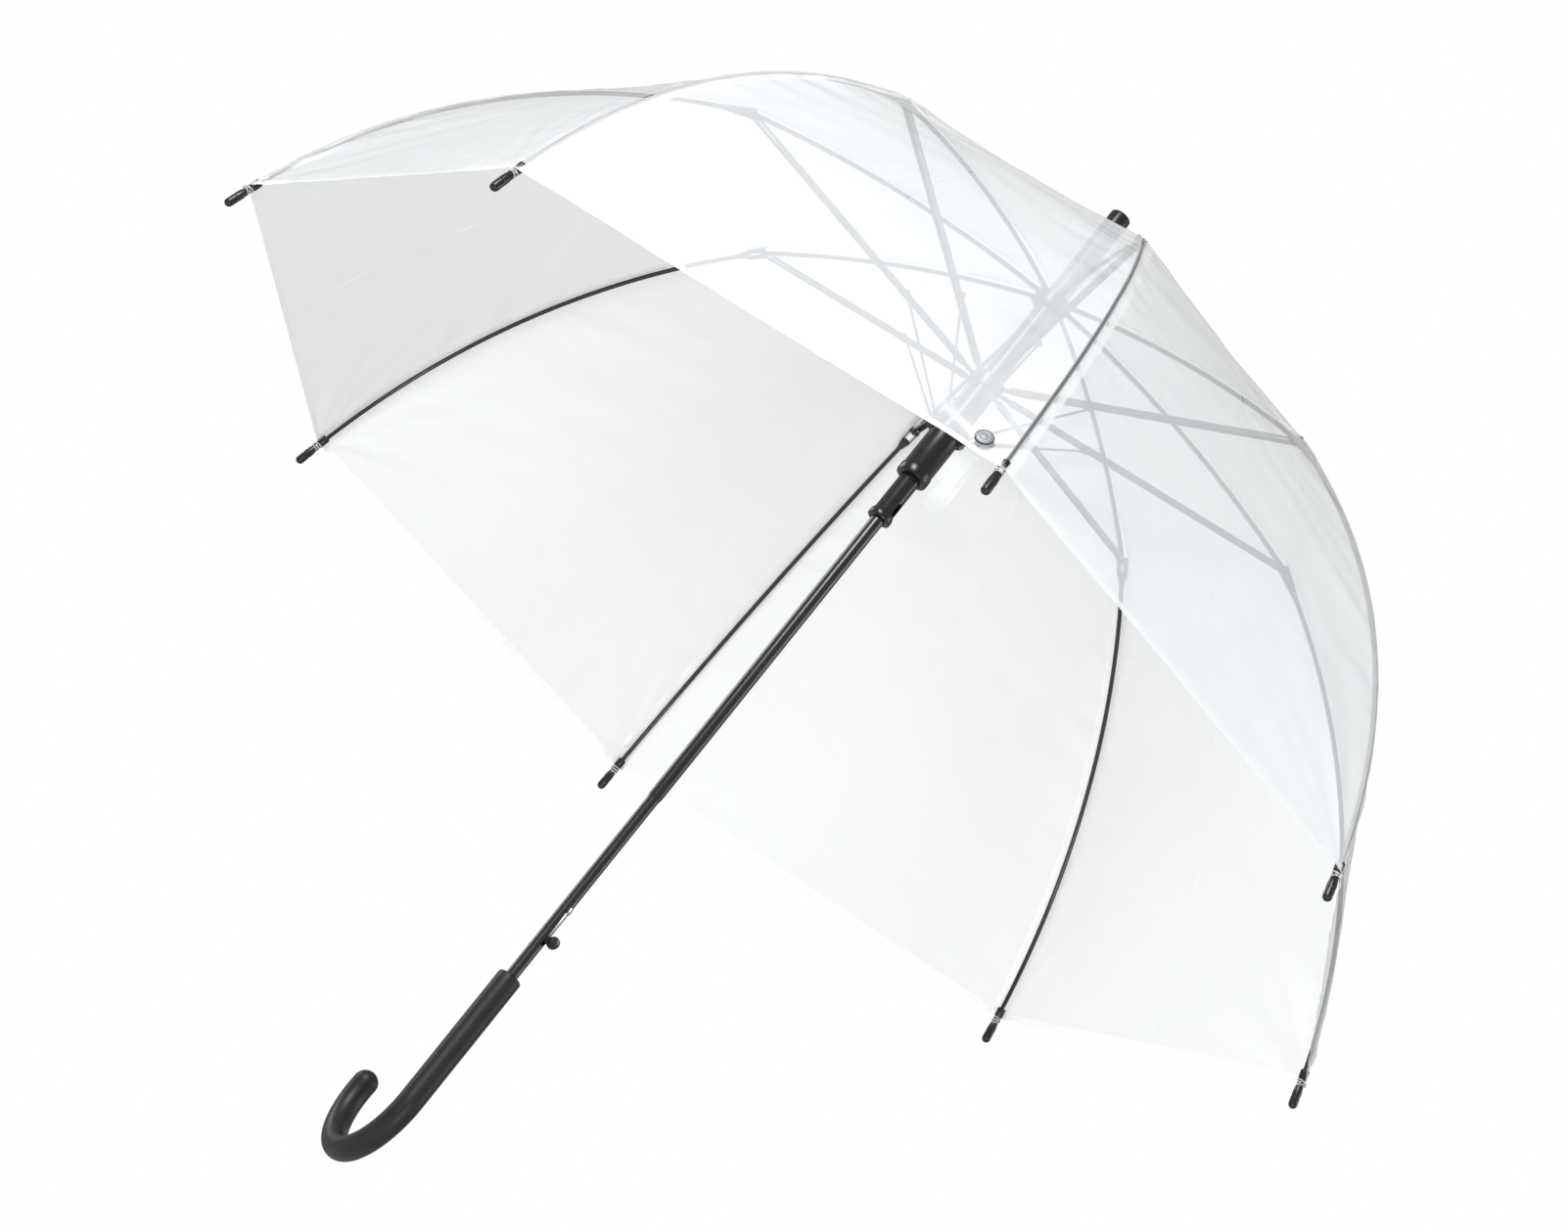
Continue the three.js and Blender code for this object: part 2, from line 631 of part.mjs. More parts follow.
// ---------------------------------------------------------------- catch, strap and snap
function releaseButton() {
  const thumb = new THREE.Shape().absarc(BUTTON_REACH, 0, BUTTON_RADIUS, 0, 2 * Math.PI);
  const options = { depth: BUTTON_THICKNESS, bevelEnabled: false, curveSegments: 10 };
  const stand = (geometry) => geometry.translate(0, 0, -BUTTON_THICKNESS / 2).rotateX(Math.PI / 2);
  const knob = solidOf(stand(new THREE.ExtrudeGeometry(thumb, options)));
  const half = BUTTON_THICKNESS / 2;
  const inner = SHAFT_FOOT_RADIUS - 2;
  const stem = block([inner, -half, -2.6], [BUTTON_REACH, half, 2.6]);
  const leaf = block([inner + 0.6, -half, -1], [SHAFT_FOOT_RADIUS - 0.2, half, LEAF_LENGTH]);
  const hook = block([inner + 0.6, -half, LEAF_LENGTH - 5], [SHAFT_FOOT_RADIUS + 0.6, half, LEAF_LENGTH]);
  return unite(knob, stem, leaf, hook).translate([0, 0, BUTTON_Z]).rotate([0, 0, CATCH_AZIMUTH]);
}

// The second gore's corner on the film's outer face, and the directions along the hem, up the film and out.
function cornerFrame() {
  const line = filmLine(FILM_OFFSET + FILM_THICKNESS, filmCrownZ + FILM_THICKNESS);
  const onRib = ([radius, z], index) => {
    const turn = index * STEP_ANGLE;
    return new THREE.Vector3(radius * Math.cos(turn), radius * Math.sin(turn), z);
  };
  const corner = onRib(line.at(-1), 2);
  const hem = onRib(line.at(-1), 1).sub(corner).normalize();
  const up = onRib(line.at(-2), 2).sub(corner);
  up.addScaledVector(hem, -up.dot(hem)).normalize();
  return { corner, hem, up, out: up.clone().cross(hem) };
}

function snapButton() {
  const { corner, hem, up, out } = cornerFrame();
  const place = corner.clone().addScaledVector(hem, SNAP_ALONG).addScaledVector(up, SNAP_UP);
  const profile = [
    [0, 0],
    [SNAP_RADIUS, 0],
    [SNAP_RADIUS, SNAP_HEIGHT * 0.5],
    [SNAP_RADIUS * 0.85, SNAP_HEIGHT * 0.85],
    [SNAP_RADIUS * 0.5, SNAP_HEIGHT],
    [0, SNAP_HEIGHT],
  ].map(([radius, z]) => new THREE.Vector2(radius, z));
  const cap = new THREE.LatheGeometry(profile, 24).rotateX(Math.PI / 2);
  const side = out.clone().cross(hem);
  const frame = new THREE.Matrix4().makeBasis(hem, side, out);
  frame.setPosition(place.addScaledVector(out, GAP));
  return solidOf(cap.applyMatrix4(frame));
}

// The strap hangs as a loop of doubled film below the corner of the hem.
function tieStrap() {
  const { corner, hem, out } = cornerFrame();
  const half = STRAP_LOOP / 2;
  const wide = 7;
  const outline = new THREE.Shape();
  const hole = new THREE.Path();
  for (const [path, side] of [[outline, wide], [hole, wide - STRAP_THICKNESS]]) {
    path.absellipse(0, -half, side, half - (wide - side), 0, 2 * Math.PI);
  }
  outline.holes.push(hole);
  const options = { depth: STRAP_WIDTH, bevelEnabled: false, curveSegments: 16 };
  const loop = new THREE.ExtrudeGeometry(outline, options).translate(0, 0, -STRAP_WIDTH / 2);
  const down = new THREE.Vector3(0, 0, 1);
  const across = hem.clone().setZ(0).normalize();
  const away = down.clone().cross(across);
  const frame = new THREE.Matrix4().makeBasis(away, down, across);
  const place = corner.clone().addScaledVector(hem, SNAP_ALONG);
  frame.setPosition(place.setZ(place.z - 2 * GAP));
  return solidOf(loop.applyMatrix4(frame));
}

// ---------------------------------------------------------------- finishes
const finish = (color, roughness, metalness, extra = {}) => () =>
  new THREE.MeshStandardMaterial({ color, roughness, metalness, ...extra });
const blackSteel = finish(0x16171a, 0.3, 0.7);
const blackPlastic = finish(0x1b1c1e, 0.45, 0);
const satinGrip = finish(0x2a2b2d, 0.55, 0);
const springSteel = finish(0xa9acb0, 0.3, 1);
const clearFilm = finish(0xeef1f3, 0.12, 0, { transparent: true, opacity: 0.28 });

// ---------------------------------------------------------------- assembly
const umbrella = new THREE.Group();
umbrella.name = "bubble_umbrella";

function piece(name, solid, material, group = umbrella) {
  const mesh = new THREE.Mesh(geometryOf(solid), material());
  mesh.name = name;
  group.add(mesh);
}

piece("shaft", shaft(), blackSteel);
piece("handle", handle(), satinGrip);
piece("top_cap", topCap(), blackPlastic);
piece("top_notch", topNotch(), blackPlastic);
piece("stop_sleeve", stopSleeve(), blackPlastic);
piece("inner_runner", innerRunner(), blackPlastic);
piece("spring_cover", springCover(), blackPlastic);
piece("link_runner", linkRunner(), blackPlastic);
piece("main_spring", mainSpring(), springSteel);
piece("release_button", releaseButton(), blackPlastic);
piece("snap_button", snapButton(), blackPlastic);
piece("tie_strap", tieStrap(), clearFilm);

const ribPieces = [
  ["upper_rib", upperRib(), blackSteel],
  ["lower_rib", lowerRib(), blackSteel],
  ["rib_tip", ribTip(), blackPlastic],
  ["stretcher", stretcher(), blackSteel],
  ["link", link(), blackSteel],
];
const canopy = dome();
for (let i = 0; i < RIB_COUNT; i++) {
  const number = i + 1;
  const rib = new THREE.Group();
  rib.name = `rib_${number}`;
  umbrella.add(rib);
  const turn = [0, 0, (i * 360) / RIB_COUNT];
  for (const [name, solid, material] of ribPieces) {
    piece(`${name}_${number}`, solid.rotate(turn), material, rib);
  }
  piece(`canopy_gore_${number}`, canopy.intersect(wedge(i)), clearFilm, rib);
}

export default umbrella;
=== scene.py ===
import logging
import math
from dataclasses import dataclass, field, replace
from enum import Enum
from typing import Callable, Iterable, Sequence

import bmesh
import bpy
from mathutils import Matrix, Vector, noise


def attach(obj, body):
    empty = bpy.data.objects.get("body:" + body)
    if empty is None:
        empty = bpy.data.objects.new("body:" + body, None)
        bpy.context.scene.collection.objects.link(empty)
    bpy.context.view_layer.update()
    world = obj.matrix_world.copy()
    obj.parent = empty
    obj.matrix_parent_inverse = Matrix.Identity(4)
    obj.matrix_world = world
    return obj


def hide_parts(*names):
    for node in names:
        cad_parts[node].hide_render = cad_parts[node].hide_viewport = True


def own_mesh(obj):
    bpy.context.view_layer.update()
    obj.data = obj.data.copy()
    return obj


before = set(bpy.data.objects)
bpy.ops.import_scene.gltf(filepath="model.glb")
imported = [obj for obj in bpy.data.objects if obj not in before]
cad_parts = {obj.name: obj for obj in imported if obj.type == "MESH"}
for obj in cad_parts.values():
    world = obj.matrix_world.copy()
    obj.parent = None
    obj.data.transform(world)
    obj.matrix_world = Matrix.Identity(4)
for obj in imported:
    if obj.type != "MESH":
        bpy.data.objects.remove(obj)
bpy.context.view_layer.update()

log = logging.getLogger("umbrella")

# Lengths below are millimetres unless a name says otherwise; a finished mesh is turned to metres.
METRE = 0.001
RIBS = 8
STEP = 2 * math.pi / RIBS
ACROSS = Vector((0, 1, 0))  # out of the first rib's plane
SHARP = math.radians(34)  # an edge that turns more is rounded, or stays sharp in the shading
KNOT = Matrix.Diagonal((1.2, 0.9, 0.7, 1))  # a knot's flattened shape

Pair = tuple[float, float]
Triple = tuple[float, float, float]
Material = bpy.types.Material


class Slot(Enum):
    """The record's material slots."""

    STEEL = "black_steel"
    PLASTIC = "black_plastic"
    GRIP = "satin_grip"
    WIRE = "spring_steel"
    FILM = "clear_film"


# ---------------------------------------------------------------- nodes
class Wire:
    """A node's output that arithmetic can be done on."""

    def __init__(self, maker: "NodeMaker", socket: bpy.types.NodeSocket) -> None:
        """Keeps the maker and the socket."""
        self.maker = maker
        self.socket = socket

    def _math(self, operation: str, first: "Wire | float", second: "Wire | float") -> "Wire":
        """The output of a Math node on two values."""
        return self.maker.node("Math", {"operation": operation}, {0: first, 1: second})

    def __add__(self, other: "Wire | float") -> "Wire":
        """self + other."""
        return self._math("ADD", self, other)

    def __radd__(self, other: float) -> "Wire":
        """other + self."""
        return self._math("ADD", other, self)

    def __sub__(self, other: "Wire | float") -> "Wire":
        """self - other."""
        return self._math("SUBTRACT", self, other)

    def __rsub__(self, other: float) -> "Wire":
        """other - self."""
        return self._math("SUBTRACT", other, self)

    def __mul__(self, other: "Wire | float") -> "Wire":
        """self * other."""
        return self._math("MULTIPLY", self, other)

    def __rmul__(self, other: float) -> "Wire":
        """other * self."""
        return self._math("MULTIPLY", other, self)


class NodeMaker:
    """Makes the nodes of one material round its Principled shader."""

    def __init__(self, name: str) -> None:
        """Starts a material.

        Args:
            name: the material's name.
        """
        self.material = bpy.data.materials.new(name)
        self.material.use_nodes = True
        self.tree = self.material.node_tree
        self.shader = self.tree.nodes["Principled BSDF"]

    def node(
        self, kind: str, settings: dict[str, object], sockets: dict[object, object], output: object = 0
    ) -> Wire:
        """Adds a node.

        Args:
            kind: the node's type, without its ShaderNode prefix.
            settings: its properties; "stops" holds a ramp's (position, grey) pairs.
            sockets: values or wires of its inputs, by name or number.
            output: the name or number of the output that is wanted.

        Returns:
            That output.
        """
        made = self.tree.nodes.new("ShaderNode" + kind)
        for key, value in settings.items():
            if key == "stops":
                for element, (position, grey) in zip(made.color_ramp.elements, value):
                    element.position, element.color = position, (grey, grey, grey, 1)
            else:
                setattr(made, key, value)
        for key, value in sockets.items():
            self.join(made.inputs[key], value)
        return Wire(self, made.outputs[output])

    def join(self, socket: bpy.types.NodeSocket, value: object) -> None:
        """Gives an input a constant or a link."""
        if isinstance(value, Wire):
            self.tree.links.new(value.socket, socket)
        else:
            socket.default_value = value

    def place(self, source: str, scale: Sequence[float] = (1, 1, 1)) -> Wire:
        """A pattern's Object or UV coordinates, scaled on each axis."""
        where = self.node("TexCoord", {}, {}, source)
        return self.node("Mapping", {}, {"Vector": where, "Scale": scale})

    def noise(self, where: Wire, scale: float, detail: float = 3, rough: float = 0.5) -> Wire:
        """Soft noise from 0 to 1, with scale cells in a metre and rough as the finer octaves' weight."""
        sockets = {"Vector": where, "Scale": scale, "Detail": detail, "Roughness": rough}
        return self.node("TexNoise", {}, sockets)

    def ramp(self, value: Wire, low: float, high: float) -> Wire:
        """Stretches the values from low to high over 0 to 1."""
        return self.node("ValToRGB", {"stops": ((low, 0.0), (high, 1.0))}, {0: value})

    def blend(self, share: Wire, first: Sequence[float], second: Sequence[float]) -> Wire:
        """A colour from the first, at a share of 0, to the second, at 1."""
        sockets = {0: share, 6: (*first, 1), 7: (*second, 1)}
        return self.node("Mix", {"data_type": "RGBA"}, sockets, 2)

    def dress(self, **values: object) -> Material:
        """Sets the Principled shader's sockets.

        Args:
            values: constants or wires by socket name, with _ for a space.

        Returns:
            The finished material.
        """
        for key, value in values.items():
            self.join(self.shader.inputs[key.replace("_", " ")], value)
        return self.material

    def bump(self, height: Wire, depth: float, strength: float) -> Wire:
        """A surface normal from a height whose 1 is depth metres, of which a share shows."""
        return self.node("Bump", {}, {"Height": height, "Distance": depth, "Strength": strength})


# ---------------------------------------------------------------- finishes
@dataclass(frozen=True)
class PaintedSteel:
    """Black painted tube and rod: smooth, with brushed streaks and a few rubbed spots."""

    dark: Triple = (0.007, 0.0074, 0.0085)
    worn: Triple = (0.02, 0.021, 0.024)

    def make(self) -> Material:
        """Returns the material."""
        maker = NodeMaker("painted steel")
        streaks = maker.noise(maker.place("Object", (1, 1, 0.12)), 900)
        spots = maker.noise(maker.place("Object"), 160, 4, 0.65)
        rubbed = maker.ramp(spots, 0.58, 0.8)
        return maker.dress(
            Base_Color=maker.blend(rubbed, self.dark, self.worn),
            Roughness=streaks * 0.08 + rubbed * 0.12 + 0.24,
            Specular_IOR_Level=0.4,
            Coat_Weight=0.6,
            Coat_Roughness=0.14,
            Normal=maker.bump(streaks * 0.5 + spots * 0.5, 0.00001, 0.15),
        )


@dataclass(frozen=True)
class MouldedPlastic:
    """Black moulded plastic with a fine, slightly uneven skin."""

    dark: Triple = (0.006, 0.0063, 0.0072)
    pale: Triple = (0.011, 0.0115, 0.013)

    def make(self) -> Material:
        """Returns the material."""
        maker = NodeMaker("moulded plastic")
        where = maker.place("Object")
        grain = maker.noise(where, 1800, 2)
        flow = maker.noise(where, 120)
        return maker.dress(
            Base_Color=maker.blend(flow, self.dark, self.pale),
            Roughness=grain * 0.06 + flow * 0.08 + 0.2,
            Specular_IOR_Level=0.5,
            Normal=maker.bump(grain * 0.6 + flow * 0.4, 0.000005, 0.15),
        )


@dataclass(frozen=True)
class SatinGrip:
    """The grip's satin black skin: a fine pebbled texture, polished a little by the hand."""

    dark: Triple = (0.0075, 0.0077, 0.0088)
    pale: Triple = (0.017, 0.0175, 0.0195)

    def make(self) -> Material:
        """Returns the material."""
        maker = NodeMaker("satin grip")
        where = maker.place("Object")
        pebbles = maker.node("TexVoronoi", {"feature": "SMOOTH_F1"}, {"Vector": where, "Scale": 850.0})
        polish = maker.ramp(maker.noise(where, 60, 4), 0.35, 0.75)
        grain = maker.noise(where, 700)
        return maker.dress(
            Base_Color=maker.blend(grain * 0.6 + polish * 0.3, self.dark, self.pale),
            Roughness=0.44 - polish * 0.08 + grain * 0.04,
            Specular_IOR_Level=0.35,
            Normal=maker.bump(pebbles * 0.7 + grain * 0.5, 0.00001, 0.2),
        )


@dataclass(frozen=True)
class CloudyFinish:
    """A finish whose colour, roughness and relief follow one soft noise."""

    name: str
    scale: float
    dark: Triple
    pale: Triple
    rough: Pair  # the roughness at the noise's 0, and what its 1 adds
    relief: Pair | None = None  # the relief's depth in metres, and the share that shows
    detail: float = 3
    squeeze: Triple = (1, 1, 1)
    source: str = "Object"
    metallic: float = 0.0
    cover: float | None = None  # how opaque it is at the noise's 0

    def make(self) -> Material:
        """Returns the material."""
        maker = NodeMaker(self.name)
        cloud = maker.noise(maker.place(self.source, self.squeeze), self.scale, self.detail)
        low, added = self.rough
        values = {"Base_Color": maker.blend(cloud, self.dark, self.pale), "Roughness": cloud * added + low}
        if self.relief:
            values["Normal"] = maker.bump(cloud, *self.relief)
        if self.cover:
            values["Alpha"] = cloud * 0.1 + self.cover
        return maker.dress(Metallic=self.metallic, **values)


DRAWN_WIRE = CloudyFinish(
    "drawn wire", 1500, (0.42, 0.43, 0.45), (0.66, 0.67, 0.68), (0.2, 0.2), (0.00003, 0.3),
    detail=2, squeeze=(1, 1, 4), metallic=1.0,
)
# The snap cap's light grey, part metallic, is a painted reflection of the key light on its top; the cap
# itself is black plastic.
SNAP_PAINTED_SHEEN = CloudyFinish(
    "satin nickel", 420, (0.24, 0.25, 0.27), (0.33, 0.345, 0.365), (0.42, 0.12), (0.00002, 0.3), metallic=0.4
)
SEWING_THREAD = CloudyFinish(
    "sewing thread", 1600, (0.42, 0.43, 0.44), (0.72, 0.73, 0.74), (0.55, 0.2), (0.00008, 0.6), detail=2
)
WELDED_BAND = CloudyFinish(
    "welded band", 90, (0.95, 0.955, 0.96), (0.98, 0.98, 0.985), (0.25, 0.15), (0.0002, 0.4),
    source="UV", cover=0.62,
)
CLEAR_SOCKET = replace(WELDED_BAND, name="clear socket", cover=0.85)
PALE_FLOOR = CloudyFinish("pale floor", 3, (0.86, 0.86, 0.865), (0.9, 0.9, 0.9), (0.75, 0.1))


@dataclass(frozen=True)
class ClearFilm:
    """Soft clear film: a pale veil with a wavy gloss and faint creases, clearer where it lies on a rod."""

    name: str = "clear film"
    veil: Triple = (0.79, 0.815, 0.835)
    bright: Triple = (0.84, 0.86, 0.875)
    cover: float = 0.6
    pressed: float = 0.22  # the share of the veil left where the film is pressed on a rod
    wave: float = 0.0016
    crease: float = 0.00012

    def make(self) -> Material:
        """Returns the material."""
        maker = NodeMaker(self.name)
        waves = maker.noise(maker.place("UV", (1, 1.3, 1)), 9, 3, 0.45)
        creases = maker.noise(maker.place("UV", (0.5, 1.6, 1)), 70)
        fine = maker.ramp(creases, 0.5, 0.78)
        aside = maker.node("SeparateXYZ", {}, {0: maker.place("UV", (100, 100, 100))}) + waves * 0.08
        off_rod = maker.ramp(maker.node("Math", {"operation": "ABSOLUTE"}, {0: aside}), 0.06, 0.17)
        return maker.dress(
            Base_Color=maker.blend(waves * 0.7 + fine * 0.15, self.veil, self.bright),
            Roughness=waves * 0.14 + 0.1,
            Alpha=(waves * 0.06 + self.cover) * (off_rod * (1 - self.pressed) + self.pressed),
            IOR=1.5,
            Specular_IOR_Level=0.6,
            Normal=maker.bump(waves * self.wave + creases * self.crease, 1.0, 0.7),
        )


# ---------------------------------------------------------------- meshes
def vertices(geometry: Iterable[object]) -> list[bmesh.types.BMVert]:
    """The vertices among an operator's results."""
    return [item for item in geometry if isinstance(item, bmesh.types.BMVert)]


def arc(radius: float, across: float, up: float, degrees: Iterable[int]) -> list[Pair]:
    """Points of an arc about a point of a profile."""
    turns = [math.radians(degree) for degree in degrees]
    return [(across + radius * math.cos(turn), up + radius * math.sin(turn)) for turn in turns]


def about_shaft(turn: float) -> Matrix:
    """A turn about the shaft."""
    return Matrix.Rotation(turn, 4, "Z")


class Blank:
    """A mesh in the making, in millimetres."""

    def __init__(self) -> None:
        """Starts empty."""
        self.bm = bmesh.new()

    @classmethod
    def turned(cls, profile: Sequence[Pair], steps: int = 56) -> "Blank":
        """A solid of revolution about the shaft's axis.

        Args:
            profile: (radius, height) points. A wall's profile ends where it starts.
            steps: sides of the full turn.

        Returns:
            The blank.
        """
        blank = cls()
        points = [blank.bm.verts.new((radius, 0, z)) for radius, z in profile]
        edges = [blank.bm.edges.new(pair) for pair in zip(points, points[1:])]
        bmesh.ops.spin(
            blank.bm, geom=points + edges, cent=(0, 0, 0), axis=(0, 0, 1), dvec=(0, 0, 0),
            angle=2 * math.pi, steps=steps, use_merge=True,
        )
        return blank.cleaned()

    @classmethod
    def swept(
        cls, path: Sequence[Vector], radii: Sequence[Pair], across: Sequence[Vector] | Vector, sides: int = 14
    ) -> "Blank":
        """A closed rod along a path.

        Args:
            path: its centre line.
            radii: half its width and half its depth at each point.
            across: the direction of its width, or one for each point.
            sides: sides of its section.

        Returns:
            The blank.
        """
        blank = cls()
        places = []
        for index, point in enumerate(path):
            ahead = (path[min(index + 1, len(path) - 1)] - path[max(index - 1, 0)]).normalized()
            side = across if isinstance(across, Vector) else across[index]
            over = ahead.cross(side).normalized()
            wide, deep = radii[index]
            turn = Matrix((over.cross(ahead) * wide, over * deep, ahead)).transposed().to_4x4()
            places.append(Matrix.Translation(point) @ turn)
        bmesh.ops.create_circle(blank.bm, cap_ends=True, radius=1, segments=sides, matrix=places[0])
        edges = list(blank.bm.edges)
        for before, after in zip(places, places[1:]):
            made = bmesh.ops.extrude_edge_only(blank.bm, edges=edges)["geom"]
            ring = set(vertices(made))
            edges = [e for e in made if isinstance(e, bmesh.types.BMEdge) and set(e.verts) <= ring]
            bmesh.ops.transform(blank.bm, matrix=after @ before.inverted(), verts=list(ring))
        bmesh.ops.holes_fill(blank.bm, edges=edges, sides=sides)
        return blank.cleaned()

    @classmethod
    def box(cls, low: Sequence[float], high: Sequence[float], round_by: float = 0.0) -> "Blank":
        """A box from its lowest to its highest corner, with its edges rounded."""
        blank = cls()
        size = Vector(high) - Vector(low)
        place = Matrix.Translation((Vector(high) + Vector(low)) / 2) @ Matrix.Diagonal((*size, 1))
        bmesh.ops.create_cube(blank.bm, size=1, matrix=place)
        return blank.bevelled(round_by) if round_by else blank

    @classmethod
    def pin(cls, radius: float, centre: Vector, low: float, high: float, round_by: float = 0.0) -> "Blank":
        """A disc or pin across the first rib's plane.

        Args:
            radius: of the pin.
            centre: a point on its axis.
            low: where it starts across the plane.
            high: where it ends.
            round_by: its edges' radius.

        Returns:
            The blank.
        """
        blank = cls()
        middle = Matrix.Translation((centre.x, (low + high) / 2, centre.z))
        bmesh.ops.create_cone(
            blank.bm, cap_ends=True, segments=20, radius1=radius, radius2=radius, depth=high - low,
            matrix=middle @ Matrix.Rotation(math.pi / 2, 4, "X"),
        )
        return blank.bevelled(round_by) if round_by else blank

    @classmethod
    def collar(cls, inner: float, outer: float, low: float, high: float, edge: float = 0.5) -> "Blank":
        """A ring about the shaft with its outer edges taken off."""
        return cls.turned([
            (inner, low), (outer - edge, low), (outer, low + edge), (outer, high - edge),
            (outer - edge, high), (inner, high), (inner, low),
        ])

    @classmethod
    def at_ribs(cls, make: Callable[[], "Blank"]) -> "Blank":
        """One of what a function makes at each rib."""
        blank = cls()
        for i in range(RIBS):
            blank += make().moved(about_shaft(i * STEP))
        return blank

    def cleaned(self) -> "Blank":
        """Merges doubles and points the faces outwards."""
        bmesh.ops.remove_doubles(self.bm, verts=self.bm.verts, dist=1e-4)
        bmesh.ops.recalc_face_normals(self.bm, faces=self.bm.faces)
        return self

    def bevelled(self, offset: float) -> "Blank":
        """Rounds the sharp edges by a width."""
        edges = [e for e in self.bm.edges if e.is_manifold and e.calc_face_angle(0) > SHARP]
        bmesh.ops.bevel(
            self.bm, geom=edges, offset=offset, segments=2, profile=0.5, affect="EDGES", material=-1,
            clamp_overlap=True,
        )
        return self

    def moved(self, matrix: Matrix) -> "Blank":
        """Moves it."""
        bmesh.ops.transform(self.bm, matrix=matrix, verts=self.bm.verts)
        return self

    def mesh(self) -> bpy.types.Mesh:
        """A mesh of it as it is."""
        mesh = bpy.data.meshes.new("blank")
        self.bm.to_mesh(mesh)
        return mesh

    def __add__(self, other: "Blank") -> "Blank":
        """Takes another blank's mesh in."""
        mesh = other.mesh()
        self.bm.from_mesh(mesh)
        bpy.data.meshes.remove(mesh)
        return self

    def cut(self, tool: "Blank") -> "Blank":
        """Takes another blank's space out of this one."""
        whole, cutter = (bpy.data.objects.new("blank", each.mesh()) for each in (self, tool))
        for each in (whole, cutter):
            bpy.context.collection.objects.link(each)
        carve = whole.modifiers.new("carve", "BOOLEAN")
        carve.object, carve.operation, carve.solver = cutter, "DIFFERENCE", "EXACT"
        bpy.context.view_layer.update()
        carved = whole.evaluated_get(bpy.context.evaluated_depsgraph_get())
        self.bm.clear()
        self.bm.from_mesh(carved.to_mesh())
        carved.to_mesh_clear()
        for each in (whole, cutter):
            mesh = each.data
            bpy.data.objects.remove(each)
            bpy.data.meshes.remove(mesh)
        return self

    def piece(
        self, name: str, dress: Material | Sequence[Material], turn: float = 0.0
    ) -> bpy.types.Object:
        """Turns it into an object, in metres, at the origin.

        Args:
            name: the piece's name.
            dress: its material or materials.
            turn: how far it is turned about the shaft first.

        Returns:
            The object.
        """
        done = self.bm.copy()
        bmesh.ops.transform(done, matrix=about_shaft(turn) @ Matrix.Scale(METRE, 4), verts=done.verts)
        for face in done.faces:
            face.smooth = True
        for edge in done.edges:
            if edge.is_manifold and edge.calc_face_angle(0) > SHARP:
                edge.smooth = False
        mesh = bpy.data.meshes.new(name)
        done.to_mesh(mesh)
        done.free()
        for material in [dress] if isinstance(dress, Material) else dress:
            mesh.materials.append(material)
        made = bpy.data.objects.new(name, mesh)
        bpy.context.collection.objects.link(made)
        return made


def settle(made: bpy.types.Object, body: str, slot: Slot, *nodes: str) -> bpy.types.Object:
    """Puts a piece on its body and reports it.

    Args:
        made: the piece.
        body: the body that it rides on.
        slot: the record's material slot; not used.
        nodes: the nodes that it stands for.

    Returns:
        The piece.
    """
    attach(made, body)
    if nodes:
        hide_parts(*nodes)
    log.info("%s on %s, %d faces", made.name, body, len(made.data.polygons))
    return made


# ---------------------------------------------------------------- the linkage
class Bow:
    """The centre line of a rod that bows out of its chord, an arc in the rib's plane."""

    def __init__(self, start: Vector, end: Vector, bow: float) -> None:
        """Fits the arc.

        Args:
            start: one end.
            end: the other.
            bow: its height over the chord.
        """
        half = (end - start).length / 2
        self.radius = (half * half + bow * bow) / (2 * bow)
        self.chord = (end - start).normalized()
        self.outward = Vector((-self.chord.z, 0, self.chord.x))
        self.centre = (start + end) / 2 + self.outward * (bow - self.radius)
        self.spread = math.asin(half / self.radius)
        self.length = 2 * self.spread * self.radius

    def normal(self, t: float) -> Vector:
        """The outward normal at t, from 0 at the start to 1 at the end."""
        turn = (2 * t - 1) * self.spread
        return self.outward * math.cos(turn) + self.chord * math.sin(turn)

    def point(self, t: float, out: float = 0.0) -> Vector:
        """The point at t, out millimetres off the line."""
        return self.centre + self.normal(t) * (self.radius + out)

    def stretch(self, start: float, end: float, steps: int) -> list[Vector]:
        """Points from one length along it to another, in millimetres."""
        return [self.point((start + (end - start) * i / steps) / self.length) for i in range(steps + 1)]


@dataclass(frozen=True)
class Linkage:
    """The points that every rib's pieces share, in the first rib's plane."""

    rim_radius: float = 450.0
    rim_z: float = 345.0
    knee_radius: float = 236.0
    knee_z: float = 615.0
    pivot_radius: float = 10.4
    half_spread: float = 39.0
    link_reach: float = 71.0
    link_pivot_radius: float = 12.5
    link_drop: float = 43.0
    upper_bow: float = 8.0
    lower_bow: float = 35.0
    past_rim: float = 5.5

    @property
    def knee(self) -> Vector:
        """The joint of rib and stretcher."""
        return Vector((self.knee_radius, 0, self.knee_z))

    @property
    def notch(self) -> Vector:
        """The upper rib's pivot."""
        return Vector((self.pivot_radius, 0, self.knee_z + self.half_spread))

    @property
    def runner(self) -> Vector:
        """The stretcher's pivot."""
        return Vector((self.pivot_radius, 0, self.knee_z - self.half_spread))

    @property
    def link_head(self) -> Vector:
        """The link's pivot on the stretcher."""
        way = self.knee - self.runner
        return self.runner + way.normalized() * self.link_reach

    @property
    def link_foot(self) -> Vector:
        """The link's pivot on the lower runner."""
        return Vector((self.link_pivot_radius, 0, self.runner.z - self.link_drop))

    @property
    def upper(self) -> Bow:
        """The upper rib's line."""
        return Bow(self.notch, self.knee, self.upper_bow)

    @property
    def lower(self) -> Bow:
        """The lower rib's line."""
        return Bow(self.knee, Vector((self.rim_radius, 0, self.rim_z)), self.lower_bow)


